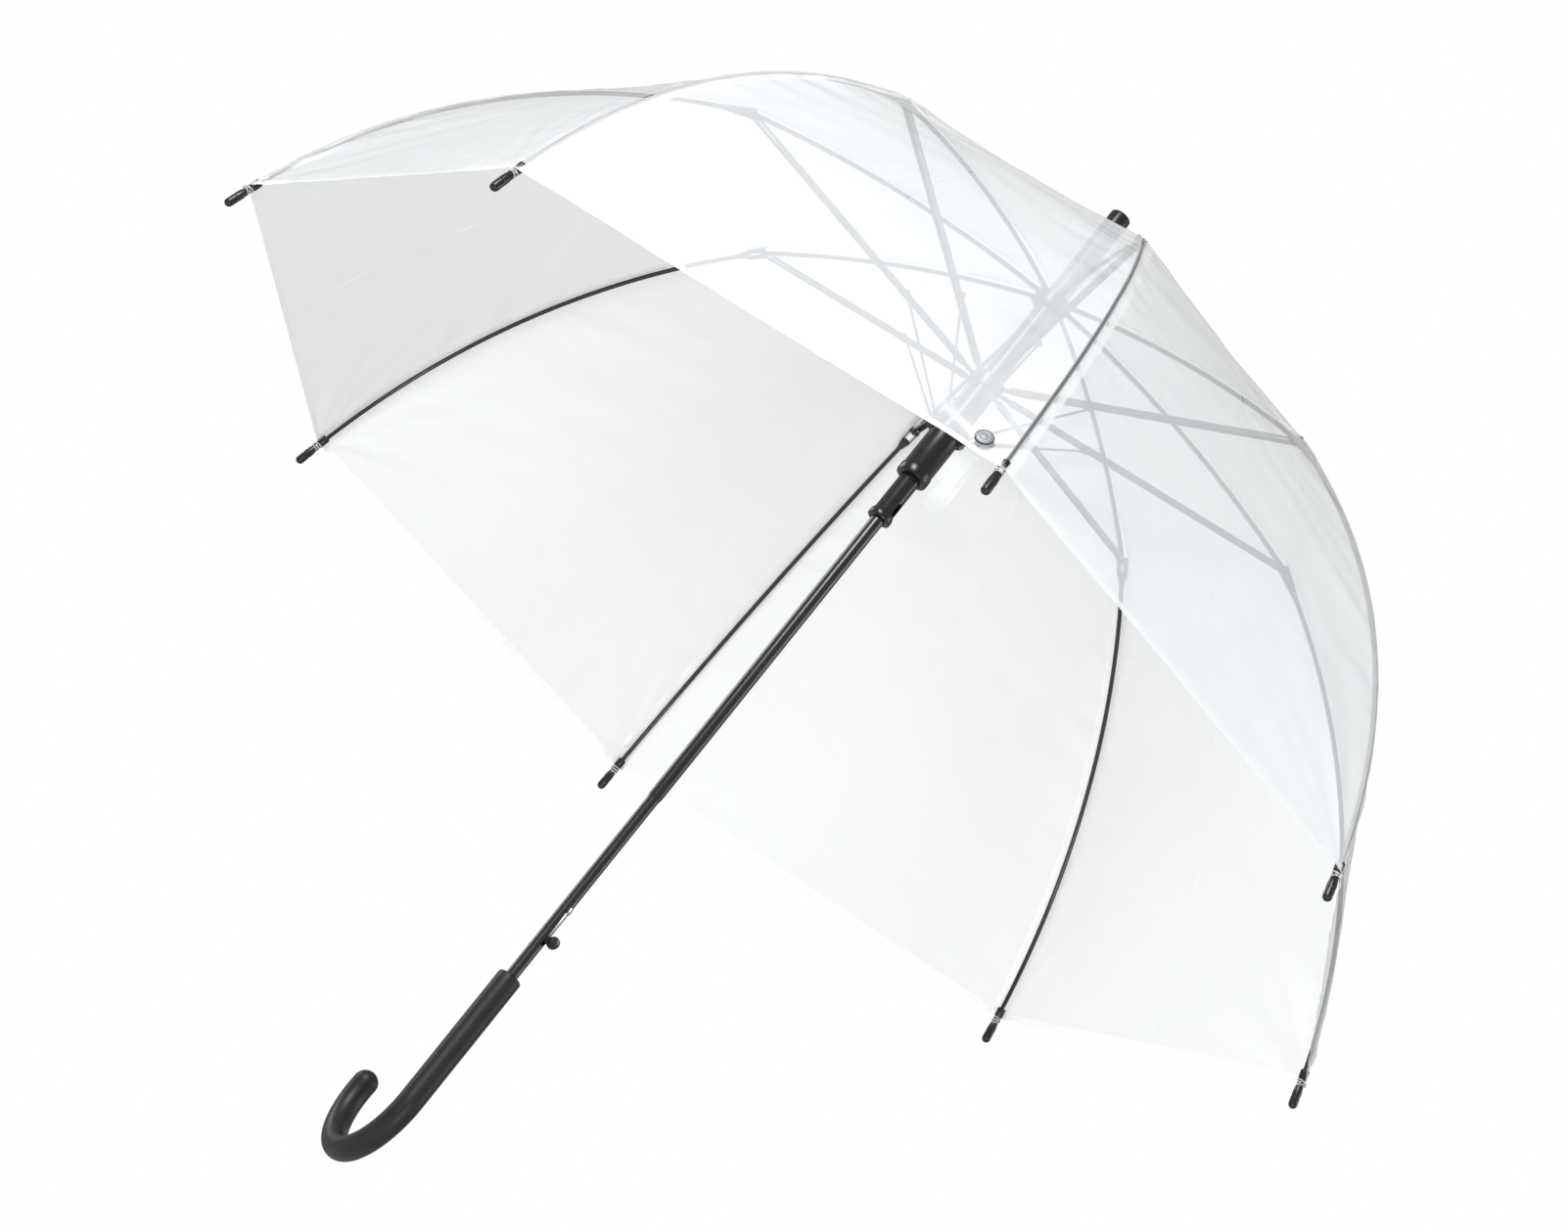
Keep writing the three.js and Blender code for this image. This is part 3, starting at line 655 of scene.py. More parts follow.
def along(start: Vector, end: Vector) -> Matrix:
    """The place whose X runs from start to end, in the rib's plane."""
    ahead = (end - start).normalized()
    turn = Matrix((ahead, ACROSS, ahead.cross(ACROSS))).transposed().to_4x4()
    return Matrix.Translation(start) @ turn


# ---------------------------------------------------------------- sub-assemblies
@dataclass
class ShaftTube:
    """The steel tube, drawn down a little at its foot, and the catch that springs out of it."""

    radius: float = 4.8
    foot_radius: float = 4.2
    wall: float = 0.6
    low: float = 5.0
    step: float = 208.0
    high: float = 730.0
    catch_z: float = 88.0
    catch_turn: float = math.radians(140)
    catch_radius: float = 4.4
    catch_reach: float = 9.4
    catch_thick: float = 3.0
    leaf: float = 26.0
    hook: float = 5.0
    stem_half: float = 2.6
    taper: float = 4.0
    gap: float = 0.3

    def tube(self) -> Blank:
        """Returns the tube with the catch's slot."""
        inner, foot, drawn = self.radius - self.wall, self.foot_radius - self.wall, self.step - self.taper
        outline = [
            (foot, self.low), (self.foot_radius, self.low), (self.foot_radius, drawn),
            (self.radius - 0.08, self.step - 0.4), (self.radius, self.step), (self.radius, self.high),
            (inner, self.high), (inner, self.step), (foot, drawn), (foot, self.low),
        ]
        half = self.catch_thick / 2 + self.gap
        low = self.catch_z - self.catch_radius - self.gap
        slot = Blank.box((1, -half, low), (self.radius + 1, half, self.catch_z + self.leaf + self.gap))
        return Blank.turned(outline, 64).cut(slot.moved(about_shaft(self.catch_turn)))

    def catch(self) -> Blank:
        """Returns the round thumb piece with its stem."""
        half, z, stem = self.catch_thick / 2, self.catch_z, self.stem_half
        thumb = Blank.pin(self.catch_radius, Vector((self.catch_reach, 0, z)), -half, half, 0.7)
        thumb += Blank.box((self.foot_radius - 2, -half, z - stem), (self.catch_reach, half, z + stem), 0.3)
        return thumb.moved(about_shaft(self.catch_turn))

    def leaf_strip(self) -> Blank:
        """Returns the catch's spring leaf with its hook."""
        half, inner = self.catch_thick / 2, self.foot_radius - 1.4
        low, high = self.catch_z + 2.2, self.catch_z + self.leaf
        leaf = Blank.box((inner, -half, low), (self.foot_radius - 0.2, half, high), 0.2)
        leaf += Blank.box((inner, -half, high - self.hook), (self.foot_radius + 0.6, half, high), 0.3)
        return leaf.moved(about_shaft(self.catch_turn))

    def build(self, steel: Material, plastic: Material, bright: Material) -> None:
        """Makes the three pieces.

        Args:
            steel: the tube's finish.
            plastic: the catch's finish.
            bright: the leaf's finish.
        """
        settle(self.tube().piece("shaft_tube", steel), "frame", Slot.STEEL, "shaft")
        settle(self.catch().piece("thumb_catch", plastic), "release_button", Slot.PLASTIC, "release_button")
        settle(self.leaf_strip().piece("catch_leaf", bright), "release_button", Slot.WIRE)


@dataclass
class CrookHandle:
    """The straight grip and its crook, one moulded sweep."""

    radius: float = 8.4
    top: float = 55.0
    bend_z: float = -46.0
    crook_radius: float = 43.0
    sweep: float = math.radians(190)
    turn: float = math.radians(-74)
    edge: float = 1.6
    shoulder: float = 1.7
    end_steps: int = 9

    def body(self) -> Blank:
        """Returns the sweep with its rounded ends."""
        start = self.top - self.shoulder
        path, radii = [], []
        for below, less in ((0, self.edge), (0.12, 0.9), (0.5, 0.42), (1.0, 0.12), (self.shoulder, 0)):
            path.append(Vector((0, 0, self.top - below)))
            radii.append(self.radius - less)
        for i in range(1, 21):
            path.append(Vector((0, 0, start + (self.bend_z - start) * i / 21)))
        for i in range(49):
            turn = self.sweep * i / 48
            out, down = self.crook_radius * (1 - math.cos(turn)), self.crook_radius * math.sin(turn)
            path.append(Vector((out, 0, self.bend_z - down)))
        radii += [self.radius] * (len(path) - len(radii))
        ahead, end = (path[-1] - path[-2]).normalized(), path[-1]
        for i in range(1, self.end_steps + 1):
            turn = math.pi / 2 * i / self.end_steps
            path.append(end + ahead * self.radius * math.sin(turn))
            radii.append(self.radius * max(math.cos(turn), 0.03))
        return Blank.swept(path, list(zip(radii, radii)), ACROSS, 40).moved(about_shaft(self.turn))

    def build(self, grip: Material) -> None:
        """Makes the handle in the grip's finish."""
        settle(self.body().piece("crook_handle", grip), "frame", Slot.GRIP, "handle")


@dataclass
class CrownFittings:
    """Cap, slotted notch and stop sleeve at the shaft's top."""

    link: Linkage
    cap_radius: float = 7.6
    cap_top: float = 736.0
    cap_low: float = 657.7
    cap_edge: float = 1.6
    roof: float = 4.0
    bore: float = 5.1
    notch_radius: float = 13.0
    notch_below: float = 7.0
    notch_above: float = 2.6
    stop_radius: float = 7.4

    def cap(self) -> Blank:
        """Returns the cap: a plain sleeve with a shallow groove under its rounded end."""
        r, low, top, edge = self.cap_radius, self.cap_low, self.cap_top, self.cap_edge
        groove = [(r, top - 13.2), (r - 0.35, top - 12.9), (r - 0.35, top - 12.3), (r, top - 12.0)]
        rounded = arc(edge, r - edge, top - edge, range(0, 91, 15))
        inside = [(0, top), (0, top - self.roof), (self.bore, top - self.roof), (self.bore, low)]
        return Blank.turned([(self.bore, low), (r - 0.3, low), (r, low + 0.3), *groove, *rounded, *inside])

    def notch(self) -> Blank:
        """Returns the hub with a slot and a pin for each rib."""
        pivot = self.link.notch
        return slotted_ring(
            pivot, self.bore, self.notch_radius, pivot.z - self.notch_below, pivot.z + self.notch_above
        )

    def stop(self) -> Blank:
        """Returns the sleeve between notch and runner."""
        high = self.link.notch.z - self.notch_below - 0.3
        return Blank.collar(self.bore, self.stop_radius, self.link.runner.z + 5.3, high, 0.4)

    def build(self, plastic: Material) -> None:
        """Makes the three in black plastic."""
        settle(self.cap().piece("top_cap_sleeve", plastic), "frame", Slot.PLASTIC, "top_cap")
        settle(self.notch().piece("rib_notch", plastic), "frame", Slot.PLASTIC, "top_notch")
        settle(self.stop().piece("stop_tube", plastic), "frame", Slot.PLASTIC, "stop_sleeve")


def slotted_ring(pivot: Vector, bore: float, outer: float, low: float, high: float) -> Blank:
    """A hub with eight slots and a pin across each.

    Args:
        pivot: the first slot's pin.
        bore: the hub's inner radius.
        outer: its outer radius.
        low: its lower face.
        high: its upper face.

    Returns:
        The blank.
    """
    half = 1.4
    slots = Blank.at_ribs(lambda: Blank.box((7.9, -half, low - 1), (outer + 1, half, high + 1)))
    pins = Blank.at_ribs(lambda: Blank.pin(0.9, pivot, -half - 0.4, half + 0.4))
    return Blank.collar(bore, outer, low, high).cut(slots) + pins


@dataclass
class Runners:
    """The catch tube with its crown, the sleeve that the links push, and the spring between them."""

    link: Linkage
    tube_radius: float = 7.3
    bore: float = 5.1
    crown_radius: float = 12.2
    crown_half: float = 5.0
    end_z: float = 452.0
    ring_radius: float = 8.6
    ring_height: float = 7.0
    window_z: float = 463.6
    window_half: float = 5.5
    window_wide: float = 2.2
    window_turn: float = math.radians(140)
    cover_inner: float = 9.3
    cover_outer: float = 10.0
    cover_length: float = 42.0
    sleeve_inner: float = 10.3
    sleeve_outer: float = 11.0
    sleeve_end: float = 489.0
    lip_radius: float = 11.7
    lip_height: float = 8.0
    link_crown: float = 14.8
    link_side: float = 3.6
    wire: float = 0.55
    turns: int = 12

    def inner(self) -> Blank:
        """Returns the catch tube: end ring, oval window and slotted crown."""
        pivot, r, tube = self.link.runner, self.ring_radius, self.tube_radius
        z, ring_top = self.end_z, self.end_z + self.ring_height
        low, high = pivot.z - self.crown_half, pivot.z + self.crown_half
        barrel = Blank.turned([
            (self.bore, z), (r - 1.0, z), (r - 0.35, z + 0.25), (r, z + 0.9), (r, ring_top - 3.6),
            (r - 0.25, ring_top - 2.4), (tube + 0.3, ring_top - 0.6), (tube, ring_top), (tube, low - 0.1),
            (tube, high), (self.bore, high), (self.bore, z),
        ])
        for tool in self.window():
            barrel = barrel.cut(tool.moved(about_shaft(self.window_turn)))
        return barrel + slotted_ring(pivot, tube - 0.4, self.crown_radius, low, high)

    def window(self) -> list[Blank]:
        """Returns what the oval window is cut with: its two round ends and its middle."""
        wide, r = self.window_wide, self.ring_radius
        run = self.window_half - wide
        tools = []
        for end in (-run, run):
            tools.append(Blank())
            place = Matrix.Translation((r / 2 + 1.5, 0, self.window_z + end))
            bmesh.ops.create_cone(
                tools[-1].bm, cap_ends=True, segments=24, radius1=wide, radius2=wide, depth=r - 1,
                matrix=place @ Matrix.Rotation(math.pi / 2, 4, "Y"),
            )
        return [*tools, Blank.box((2, -wide, self.window_z - run), (r + 1, wide, self.window_z + run))]

    def cover(self) -> Blank:
        """Returns the spring's cover tube."""
        top = self.link.runner.z - self.crown_half - 0.3
        low, a, b = top - self.cover_length, self.cover_inner, self.cover_outer
        return Blank.turned([(a, low), (b - 0.15, low), (b, low + 0.15), (b, top), (a, top), (a, low)])

    def sleeve(self) -> Blank:
        """Returns the link runner: lip, sleeve and slotted crown."""
        z, lip, lip_top = self.sleeve_end, self.lip_radius, self.sleeve_end + self.lip_height
        low, top = self.link.link_foot.z - 4, self.link.link_foot.z + 4
        inner, outer, crown = self.sleeve_inner, self.sleeve_outer, self.link_crown
        bore = self.tube_radius + 0.3
        body = Blank.turned([
            (bore, z), (lip - 1.1, z), (lip - 0.35, z + 0.3), (lip, z + 1.1), (lip, lip_top - 1.4),
            (lip - 0.2, lip_top - 0.8), (outer, lip_top), (outer, top), (inner, top), (inner, z + 3),
            (bore, z + 3), (bore, z),
        ])
        left, right = self.link_side - 1.2, self.link_side + 1.2
        slots = Blank.at_ribs(lambda: Blank.box((outer, left, low - 1), (crown + 1, right, top + 1)))
        return body + Blank.collar(outer - 0.3, crown, low, top).cut(slots)

    def spring(self) -> Blank:
        """Returns the helical spring."""
        radius = self.tube_radius + 0.6 + self.wire
        low = self.sleeve_end + 3.6 + self.wire
        high = self.link.runner.z - self.crown_half - 0.6 - self.wire
        steps = self.turns * 20
        path, across = [], []
        for i in range(steps + 1):
            turn = 2 * math.pi * self.turns * i / steps
            out = Vector((math.cos(turn), math.sin(turn), 0))
            path.append(out * radius + Vector((0, 0, low + (high - low) * i / steps)))
            across.append(out)
        return Blank.swept(path, [(self.wire, self.wire)] * len(path), across, 8)

    def build(self, plastic: Material, wire: Material) -> None:
        """Makes the four pieces.

        Args:
            plastic: finish of the runners and the cover.
            wire: the spring's finish.
        """
        settle(self.inner().piece("catch_runner", plastic), "inner_runner", Slot.PLASTIC, "inner_runner")
        settle(self.cover().piece("spring_tube", plastic), "inner_runner", Slot.PLASTIC, "spring_cover")
        settle(self.sleeve().piece("link_sleeve", plastic), "link_runner", Slot.PLASTIC, "link_runner")
        settle(self.spring().piece("coil_spring", wire), "inner_runner", Slot.WIRE, "main_spring")


@dataclass
class RibSet:
    """Upper rods, forked lower rods and their moulded tips."""

    link: Linkage
    rod: float = 1.6
    eye: float = 2.1
    eye_half: float = 1.1
    tongue: float = 10.5
    knee_eye: float = 2.4
    knee_pin: float = 1.1
    fork_inner: float = 2.6
    fork_wall: float = 0.7
    fork: float = 11.0
    ferrule: float = 9.0
    socket: float = 7.0
    tip_length: float = 20.5
    tip_radius: float = 3.1
    neck: float = 2.6
    thread_half: float = 0.38

    def upper(self) -> Blank:
        """Returns the upper rod with its flattened, drilled ends."""
        bow, rod, half, steps = self.link.upper, self.rod, self.eye_half, 40
        path = bow.stretch(0.2, bow.length - 0.2, steps)
        radii = []
        for i in range(steps + 1):
            near = min(i, steps - i) / steps * bow.length
            share = min(1.0, max(0.0, (near - self.tongue * 0.6) / (self.tongue * 0.4)))
            radii.append((half + (rod - half) * share, rod + 0.25 * (1 - share)))
        return (
            Blank.swept(path, radii, ACROSS)
            + Blank.pin(self.eye, self.link.notch, -half, half, 0.25)
            + Blank.pin(self.knee_eye, self.link.knee, -half, half, 0.25)
        )

    def lower(self) -> Blank:
        """Returns the lower rod with its fork, rivet and tapered ferrule."""
        bow, knee, eye, rod = self.link.lower, self.link.knee, self.knee_eye, self.rod
        start = bow.point(self.fork / bow.length)
        place = along(knee, start)
        reach = (start - knee).length
        inner, outer = self.fork_inner, self.fork_inner + self.fork_wall
        blank = Blank.pin(self.knee_pin, knee, -outer - 0.35, outer + 0.35)
        for side in (-1, 1):
            low, high = sorted((side * inner, side * outer))
            blank += Blank.pin(eye + 0.5, knee, low, high, 0.2)
            blank += Blank.box((0, low, 0.3 - eye), (reach + 1, high, eye - 0.3), 0.25).moved(place)
            head = sorted((side * outer, side * (outer + 0.55)))
            blank += Blank.pin(self.knee_pin + 0.6, knee, *head, 0.3)
        points = [place @ Vector((reach - 0.4 + self.ferrule * t, 0, 0)) for t in (0, 0.12, 0.5, 0.9, 1)]
        radii = [
            (outer - 0.5, eye - 0.5), (outer, eye), (outer * 0.86, eye * 0.94), (rod + 0.55, rod + 0.55),
            (rod + 0.25, rod + 0.25),
        ]
        blank += Blank.swept(points, radii, ACROSS, 18)
        path = bow.stretch(self.fork + 1, bow.length + self.link.past_rim - 1, 44)
        return blank + Blank.swept(path, [(rod, rod)] * len(path), ACROSS)

    def at_corner(self) -> Matrix:
        """The place whose X runs along the tip, from the film's corner outwards."""
        bow = self.link.lower
        return along(bow.point(1.0), bow.point(1.0 + self.link.past_rim / bow.length))

    def tip(self) -> Blank:
        """Returns the moulded tip: socket, waist with its eye, and bullet end."""
        r, length, neck, socket = self.tip_radius, self.tip_length, self.neck, -self.socket
        bullet = arc(r, 0, length - r, range(0, 76, 15))
        profile = [
            (0, 5.8), (2.05, 5.8), (2.05, socket), (neck + 0.1, socket), (neck + 0.35, socket + 0.3),
            (neck + 0.35, -1.4), (neck - 0.1, 0.2), (neck - 0.5, 1.6), (neck - 0.5, 3.6), (neck, 5.0),
            (r - 0.15, 7.4), (r, 9.0), (r, 11.2), (r - 0.22, 11.5), (r - 0.22, 12.0), (r, 12.3), *bullet,
            (0, length),
        ]
        turned = Blank.turned(profile, 24).moved(Matrix.Rotation(math.pi / 2, 4, "Y"))
        eye = Blank.pin(1.0, Vector((2.6, 0, 0)), -neck - 0.35, neck + 0.35, 0.25)
        return (turned + eye).moved(self.at_corner())

    def thread(self) -> Blank:
        """Returns the sewing thread: turns round the tip's waist and a knot on its eye."""
        blank = Blank()
        for at, radius, tilt in ((0.9, 2.75, 12), (1.9, 2.6, -9), (2.7, 2.55, 7), (3.6, 2.7, -14)):
            wound = Blank.turned(arc(self.thread_half, radius, 0, range(0, 361, 60)), 20)
            slope = Matrix.Rotation(math.radians(90 + tilt), 4, "Y")
            blank += wound.moved(Matrix.Translation((at, 0, 0)) @ slope)
        knot, place = Blank(), Matrix.Translation((2.4, 0, self.neck + 0.7)) @ KNOT
        bmesh.ops.create_icosphere(knot.bm, subdivisions=2, radius=1.5, matrix=place)
        return (blank + knot).moved(self.at_corner())

    def build(self, steel: Material, plastic: Material, yarn: Material) -> None:
        """Makes eight of each.

        Args:
            steel: the rods' finish.
            plastic: the tips' finish.
            yarn: the thread's finish.
        """
        upper, lower, tip, thread = self.upper(), self.lower(), self.tip(), self.thread()
        for i in range(RIBS):
            n, turn = i + 1, i * STEP
            settle(upper.piece(f"rib_rod_{n}", steel, turn), f"rib_{n}", Slot.STEEL, f"upper_rib_{n}")
            settle(lower.piece(f"forked_rod_{n}", steel, turn), f"lower_{n}", Slot.STEEL, f"lower_rib_{n}")
            settle(tip.piece(f"moulded_tip_{n}", plastic, turn), f"lower_{n}", Slot.PLASTIC, f"rib_tip_{n}")
            settle(thread.piece(f"corner_thread_{n}", yarn, turn), f"lower_{n}", Slot.FILM)


@dataclass
class StretcherSet:
    """Channel stretchers and the round links that push them."""

    link: Linkage
    wide: float = 4.6
    deep: float = 3.4
    wall: float = 0.7
    tongue: float = 10.5
    eye: float = 2.1
    knee_eye: float = 2.4
    wire: float = 0.9
    side: float = 3.6
    mouth: float = 7.0

    def channel(self) -> Blank:
        """Returns a stretcher: folded channel, cheeks at the knee, flat tongue and the link's stud."""
        knee, foot, head = self.link.knee, self.link.runner, self.link.link_head
        length = (knee - foot).length
        half, deep, wall = self.wide / 2, self.deep / 2, self.wall
        reach = length - self.tongue
        section = [
            (-half, -deep), (half, -deep), (half, deep), (half - wall, deep), (half - wall, wall - deep),
            (wall - half, wall - deep), (wall - half, deep), (-half, deep),
        ]
        blank = Blank()
        face = blank.bm.faces.new([blank.bm.verts.new((self.mouth, y, z)) for y, z in section])
        made = bmesh.ops.extrude_face_region(blank.bm, geom=[face])["geom"]
        bmesh.ops.translate(blank.bm, vec=(reach - self.mouth, 0, 0), verts=vertices(made))
        bmesh.ops.recalc_face_normals(blank.bm, faces=blank.bm.faces)
        blank.bevelled(0.22)
        cheeks = [sorted((side * half, side * (half - wall))) for side in (-1, 1)]
        for low, high in cheeks:
            blank += Blank.box((-0.5, low, -deep), (self.mouth + 0.6, high, deep), 0.15)
        blank += Blank.box((reach - 6, -1.1, -deep + 0.3), (length, 1.1, deep - 0.3), 0.3)
        blank = blank.moved(along(knee, foot))
        for low, high in cheeks:
            blank += Blank.pin(self.knee_eye, knee, low, high, 0.15)
        stud = self.side + self.wire + 0.3
        blank += Blank.pin(self.eye, foot, -1.1, 1.1, 0.25)
        blank += Blank.pin(0.8, head, half - 0.4, stud + 0.2)
        return blank + Blank.pin(1.8, head, stud, stud + 0.7, 0.25)

    def rod(self) -> Blank:
        """Returns a link: a round wire with an eye at each end."""
        head, foot, steps = self.link.link_head, self.link.link_foot, 12
        way, length = (foot - head).normalized(), (foot - head).length
        start = head + ACROSS * self.side
        path = [start + way * (0.8 + (length - 1.6) * i / steps) for i in range(steps + 1)]
        low, high = self.side - self.wire, self.side + self.wire
        return (
            Blank.swept(path, [(self.wire, self.wire)] * len(path), ACROSS, 12)
            + Blank.pin(2.0, head, low, high, 0.25)
            + Blank.pin(1.5, foot, low, high, 0.25)
        )

    def build(self, steel: Material) -> None:
        """Makes eight of each in painted steel."""
        channel, rod = self.channel(), self.rod()
        for i in range(RIBS):
            n, turn = i + 1, i * STEP
            made = channel.piece(f"channel_arm_{n}", steel, turn)
            settle(made, f"stretcher_{n}", Slot.STEEL, f"stretcher_{n}")
            settle(rod.piece(f"link_rod_{n}", steel, turn), f"link_{n}", Slot.STEEL, f"link_{n}")


class Band(Enum):
    """The two rows of film pieces, with the share of their width meant to be left when they are gathered in.
    """

    UPPER = 0.19
    LOWER = 0.09


@dataclass
class FilmDome:
    """The dome of clear film: one curved sheet stretched over the ribs, pulled in between them.

    Each rib carries the film up to the middle of the two gores beside it, in an upper and a lower piece
    that meet at the knees, and each piece moves with its rib as the umbrella closes.
    """

    link: Linkage
    offset: float = 2.3
    knee_rise: float = 1.9  # more of it over the forks
    tip_rise: float = 0.9  # and over the tips' sockets
    eye: float = 5.6
    crown_radius: float = 14.0
    crown_z: float = 657.25
    pull: float = 3.0
    hem: float = 4.0
    ease: float = 1.01  # the film's length over a piece's, for its creases
    seam_from: float = 3.2
    seam_to: float = 8.4
    seam_start: float = 34.0
    crown_rise: float = 1.95  # more of the offset beside the crown
    knee_fade: Pair = (20.0, 22.0)  # how far above and below the knee its rise reaches
    crown_fade: float = 45.0
    tip_fade: float = 12.0
    columns: int = 56
    rows: dict[Band, int] = field(default_factory=lambda: {Band.UPPER: 72, Band.LOWER: 104})

    def __post_init__(self) -> None:
        """Works out the film's line over a rib."""
        upper, lower = self.link.upper, self.link.lower
        line = [Vector((self.eye, 0, self.crown_z)), Vector((self.crown_radius, 0, self.crown_z))]
        for i in range(1, 41):
            t = 0.1 + 0.9 * i / 40
            rise = self.knee_rise * self.mound((1 - t) * upper.length, self.knee_fade[0])
            rise += self.crown_rise * self.mound(t * upper.length, self.crown_fade)
            line.append(upper.point(t, self.offset + rise))
        knee_normal = upper.normal(1)
        for i in range(1, 81):
            t = i / 80
            normal = lower.normal(t).lerp(knee_normal, max(0.0, 1 - i / 12)).normalized()
            rise = self.knee_rise * self.mound(t * lower.length, self.knee_fade[1])
            rise += self.tip_rise * self.mound((1 - t) * lower.length, self.tip_fade)
            line.append(lower.point(t) + normal * (self.offset + rise))
        self.line = self.spaced(line, 400)
        for _ in range(60):
            inner = [(a + b * 2 + c) / 4 for a, b, c in zip(self.line, self.line[1:], self.line[2:])]
            self.line = [self.line[0], *inner, self.line[-1]]
        self.length = sum((b - a).length for a, b in zip(self.line, self.line[1:]))
        near = min(range(len(self.line)), key=lambda i: (self.line[i] - self.link.knee).length)
        self.knee_s = self.length * near / (len(self.line) - 1)

    @staticmethod
    def mound(distance: float, fade: float) -> float:
        """A smooth rise that is 1 at no distance and has gone well past the fade."""
        return math.exp(-((distance / fade) ** 2))

    def ends(self, band: Band) -> Pair:
        """Where a row of pieces starts and ends along the film."""
        return (0.0, self.knee_s) if band is Band.UPPER else (self.knee_s, self.length)

    def half_gore(self, s: float) -> float:
        """The straight distance from a rib to the middle of the gore beside it."""
        return self.over_rib(s)[0].x * math.sin(STEP / 2)

    @staticmethod
    def spaced(line: Sequence[Vector], count: int) -> list[Vector]:
        """Points at even distances along a line.

        Args:
            line: its corners.
            count: how many steps.

        Returns:
            The points.
        """
        lengths = [0.0]
        for a, b in zip(line, line[1:]):
            lengths.append(lengths[-1] + (b - a).length)
        points, leg = [], 0
        for i in range(count + 1):
            at = lengths[-1] * i / count
            while leg < len(line) - 2 and lengths[leg + 1] < at:
                leg += 1
            share = (at - lengths[leg]) / (lengths[leg + 1] - lengths[leg])
            points.append(line[leg].lerp(line[leg + 1], min(1.0, share)))
        return points

    def over_rib(self, s: float) -> tuple[Vector, Vector]:
        """The film over a rib.

        Args:
            s: the distance from the crown's edge along the film.

        Returns:
            The point and its outward normal, in the rib's plane.
        """
        at = min(max(s / self.length, 0.0), 1.0) * (len(self.line) - 1)
        i = min(int(at), len(self.line) - 2)
        a, b = self.line[i], self.line[i + 1]
        way = (b - a).normalized()
        return a.lerp(b, at - i), Vector((-way.z, 0, way.x))

    def surface(self, rib: int, across: float, s: float, inset: float = 0.0) -> Vector:
        """A point of the film.

        Args:
            rib: the number of the rib that it hangs from, from 0.
            across: from -1 at one mid-gore line over 0 at the rib to 1 at the next.
            s: the distance from the crown's edge along the film.
            inset: how far inside the film's own surface.

        Returns:
            The point.
        """
        base, normal = self.over_rib(s)
        side, sign = abs(across), 1 if across >= 0 else -1
        middle = sign * STEP / 2
        flat = base.x * math.sin(STEP / 2) * side  # distance from the rib along the straight chord
        point = Vector((base.x, 0, base.z)) + Vector((-math.sin(STEP / 2), sign * math.cos(middle), 0)) * flat
        out = Vector((math.cos(middle) * normal.x, math.sin(middle) * normal.x, normal.z)).normalized()
        slack = self.pull * math.sin(math.pi * min(1.0, s / self.length * 0.94 + 0.03)) ** 0.8
        depth = slack * (1 - (1 - side) ** 2) + self.wrinkle(rib, flat, s, sign)
        return about_shaft(rib * STEP) @ (point - out * (depth + inset))

    def wrinkle(self, rib: int, flat: float, s: float, sign: int) -> float:
        """How far the film's creases push it in.

        Args:
            rib: the rib's number.
            flat: the distance from the rib.
            s: the distance from the crown's edge.
            sign: the side of the rib.

        Returns:
            The depth.
        """

        def crease(distance: float, reach: float, *where: float) -> float:
            """Noise at three coordinates that dies away with a distance."""
            return math.exp(-distance / reach) * noise.noise(Vector(where))

        edge = self.length - s
        gore = (rib + (0 if sign > 0 else -1)) % RIBS
        to_corner, angle = math.hypot(flat, edge), math.atan2(edge, flat + 0.01)
        beside = crease(flat, 34.0, s / 11.0, flat / 70.0, 7.3 * rib + 2.1 * sign)
        slant = crease(flat, 90.0, (s + flat * 0.55) / 26.0, flat / 160.0, 3.7 * rib + sign)
        fan = crease(to_corner, 85.0, angle * 6.5, to_corner / 140.0, 5.1 * rib + 0.7 * sign)
        near_hem = crease(edge, 26.0, flat / 15.0, edge / 60.0, 1.9 * gore)
        calm, rise = min(1.0, s / 40.0), min(1.0, flat / 9.0)
        return calm * rise * (1.3 * beside + 1.9 * slant + 2.2 * fan) + 0.5 * near_hem * rise

    def grid(
        self, rib: int, columns: int, rows: int, where: Callable[[float, float], Pair], inset: float
    ) -> Blank:
        """A patch of film.

        Args:
            rib: the rib's number.
            columns: its faces across.
            rows: its faces along.
            where: turns (0..1 across, 0..1 along) into (across, s).
            inset: how far inside the film's surface it lies.

        Returns:
            The patch, with its distances from the rib and the crown as UV, in metres.
        """
        blank = Blank()
        bmesh.ops.create_grid(blank.bm, x_segments=columns, y_segments=rows, size=0.5)
        layer = blank.bm.loops.layers.uv.new("UVMap")
        plan = {v: where(v.co.x + 0.5, v.co.y + 0.5) for v in blank.bm.verts}
        for v, (across, s) in plan.items():
            v.co = self.surface(rib, across, s, inset)
        for face in blank.bm.faces:
            for loop in face.loops:
                across, s = plan[loop.vert]
                loop[layer].uv = (across * self.half_gore(s) * METRE, s * METRE)
        outward = Matrix.Rotation(rib * STEP, 3, "Z") @ Vector((1, 0, 0.6))
        blank.bm.normal_update()
        if sum(face.normal.dot(outward) for face in list(blank.bm.faces)[::columns]) < 0:
            bmesh.ops.reverse_faces(blank.bm, faces=blank.bm.faces)
        return blank

    def patch(self, rib: int, band: Band) -> Blank:
        """The film that one rib carries above or below the knees, with its welded strips.

        Args:
            rib: the rib's number.
            band: above or below.

        Returns:
            The blank. Its strips have the second material.
        """
        low, high = self.ends(band)

        def main(x: float, y: float) -> Pair:
            """Whole width, with columns closer together near the rib."""
            u = 2 * x - 1
            return math.copysign(abs(u) ** 1.35, u), low + (high - low) * y

        def strip(x: float, y: float) -> Pair:
            """A narrow strip beside the rib."""
            start = max(low, self.seam_start)
            s = start + (high - start) * y
            return (self.seam_from + (self.seam_to - self.seam_from) * x) / self.half_gore(s), s

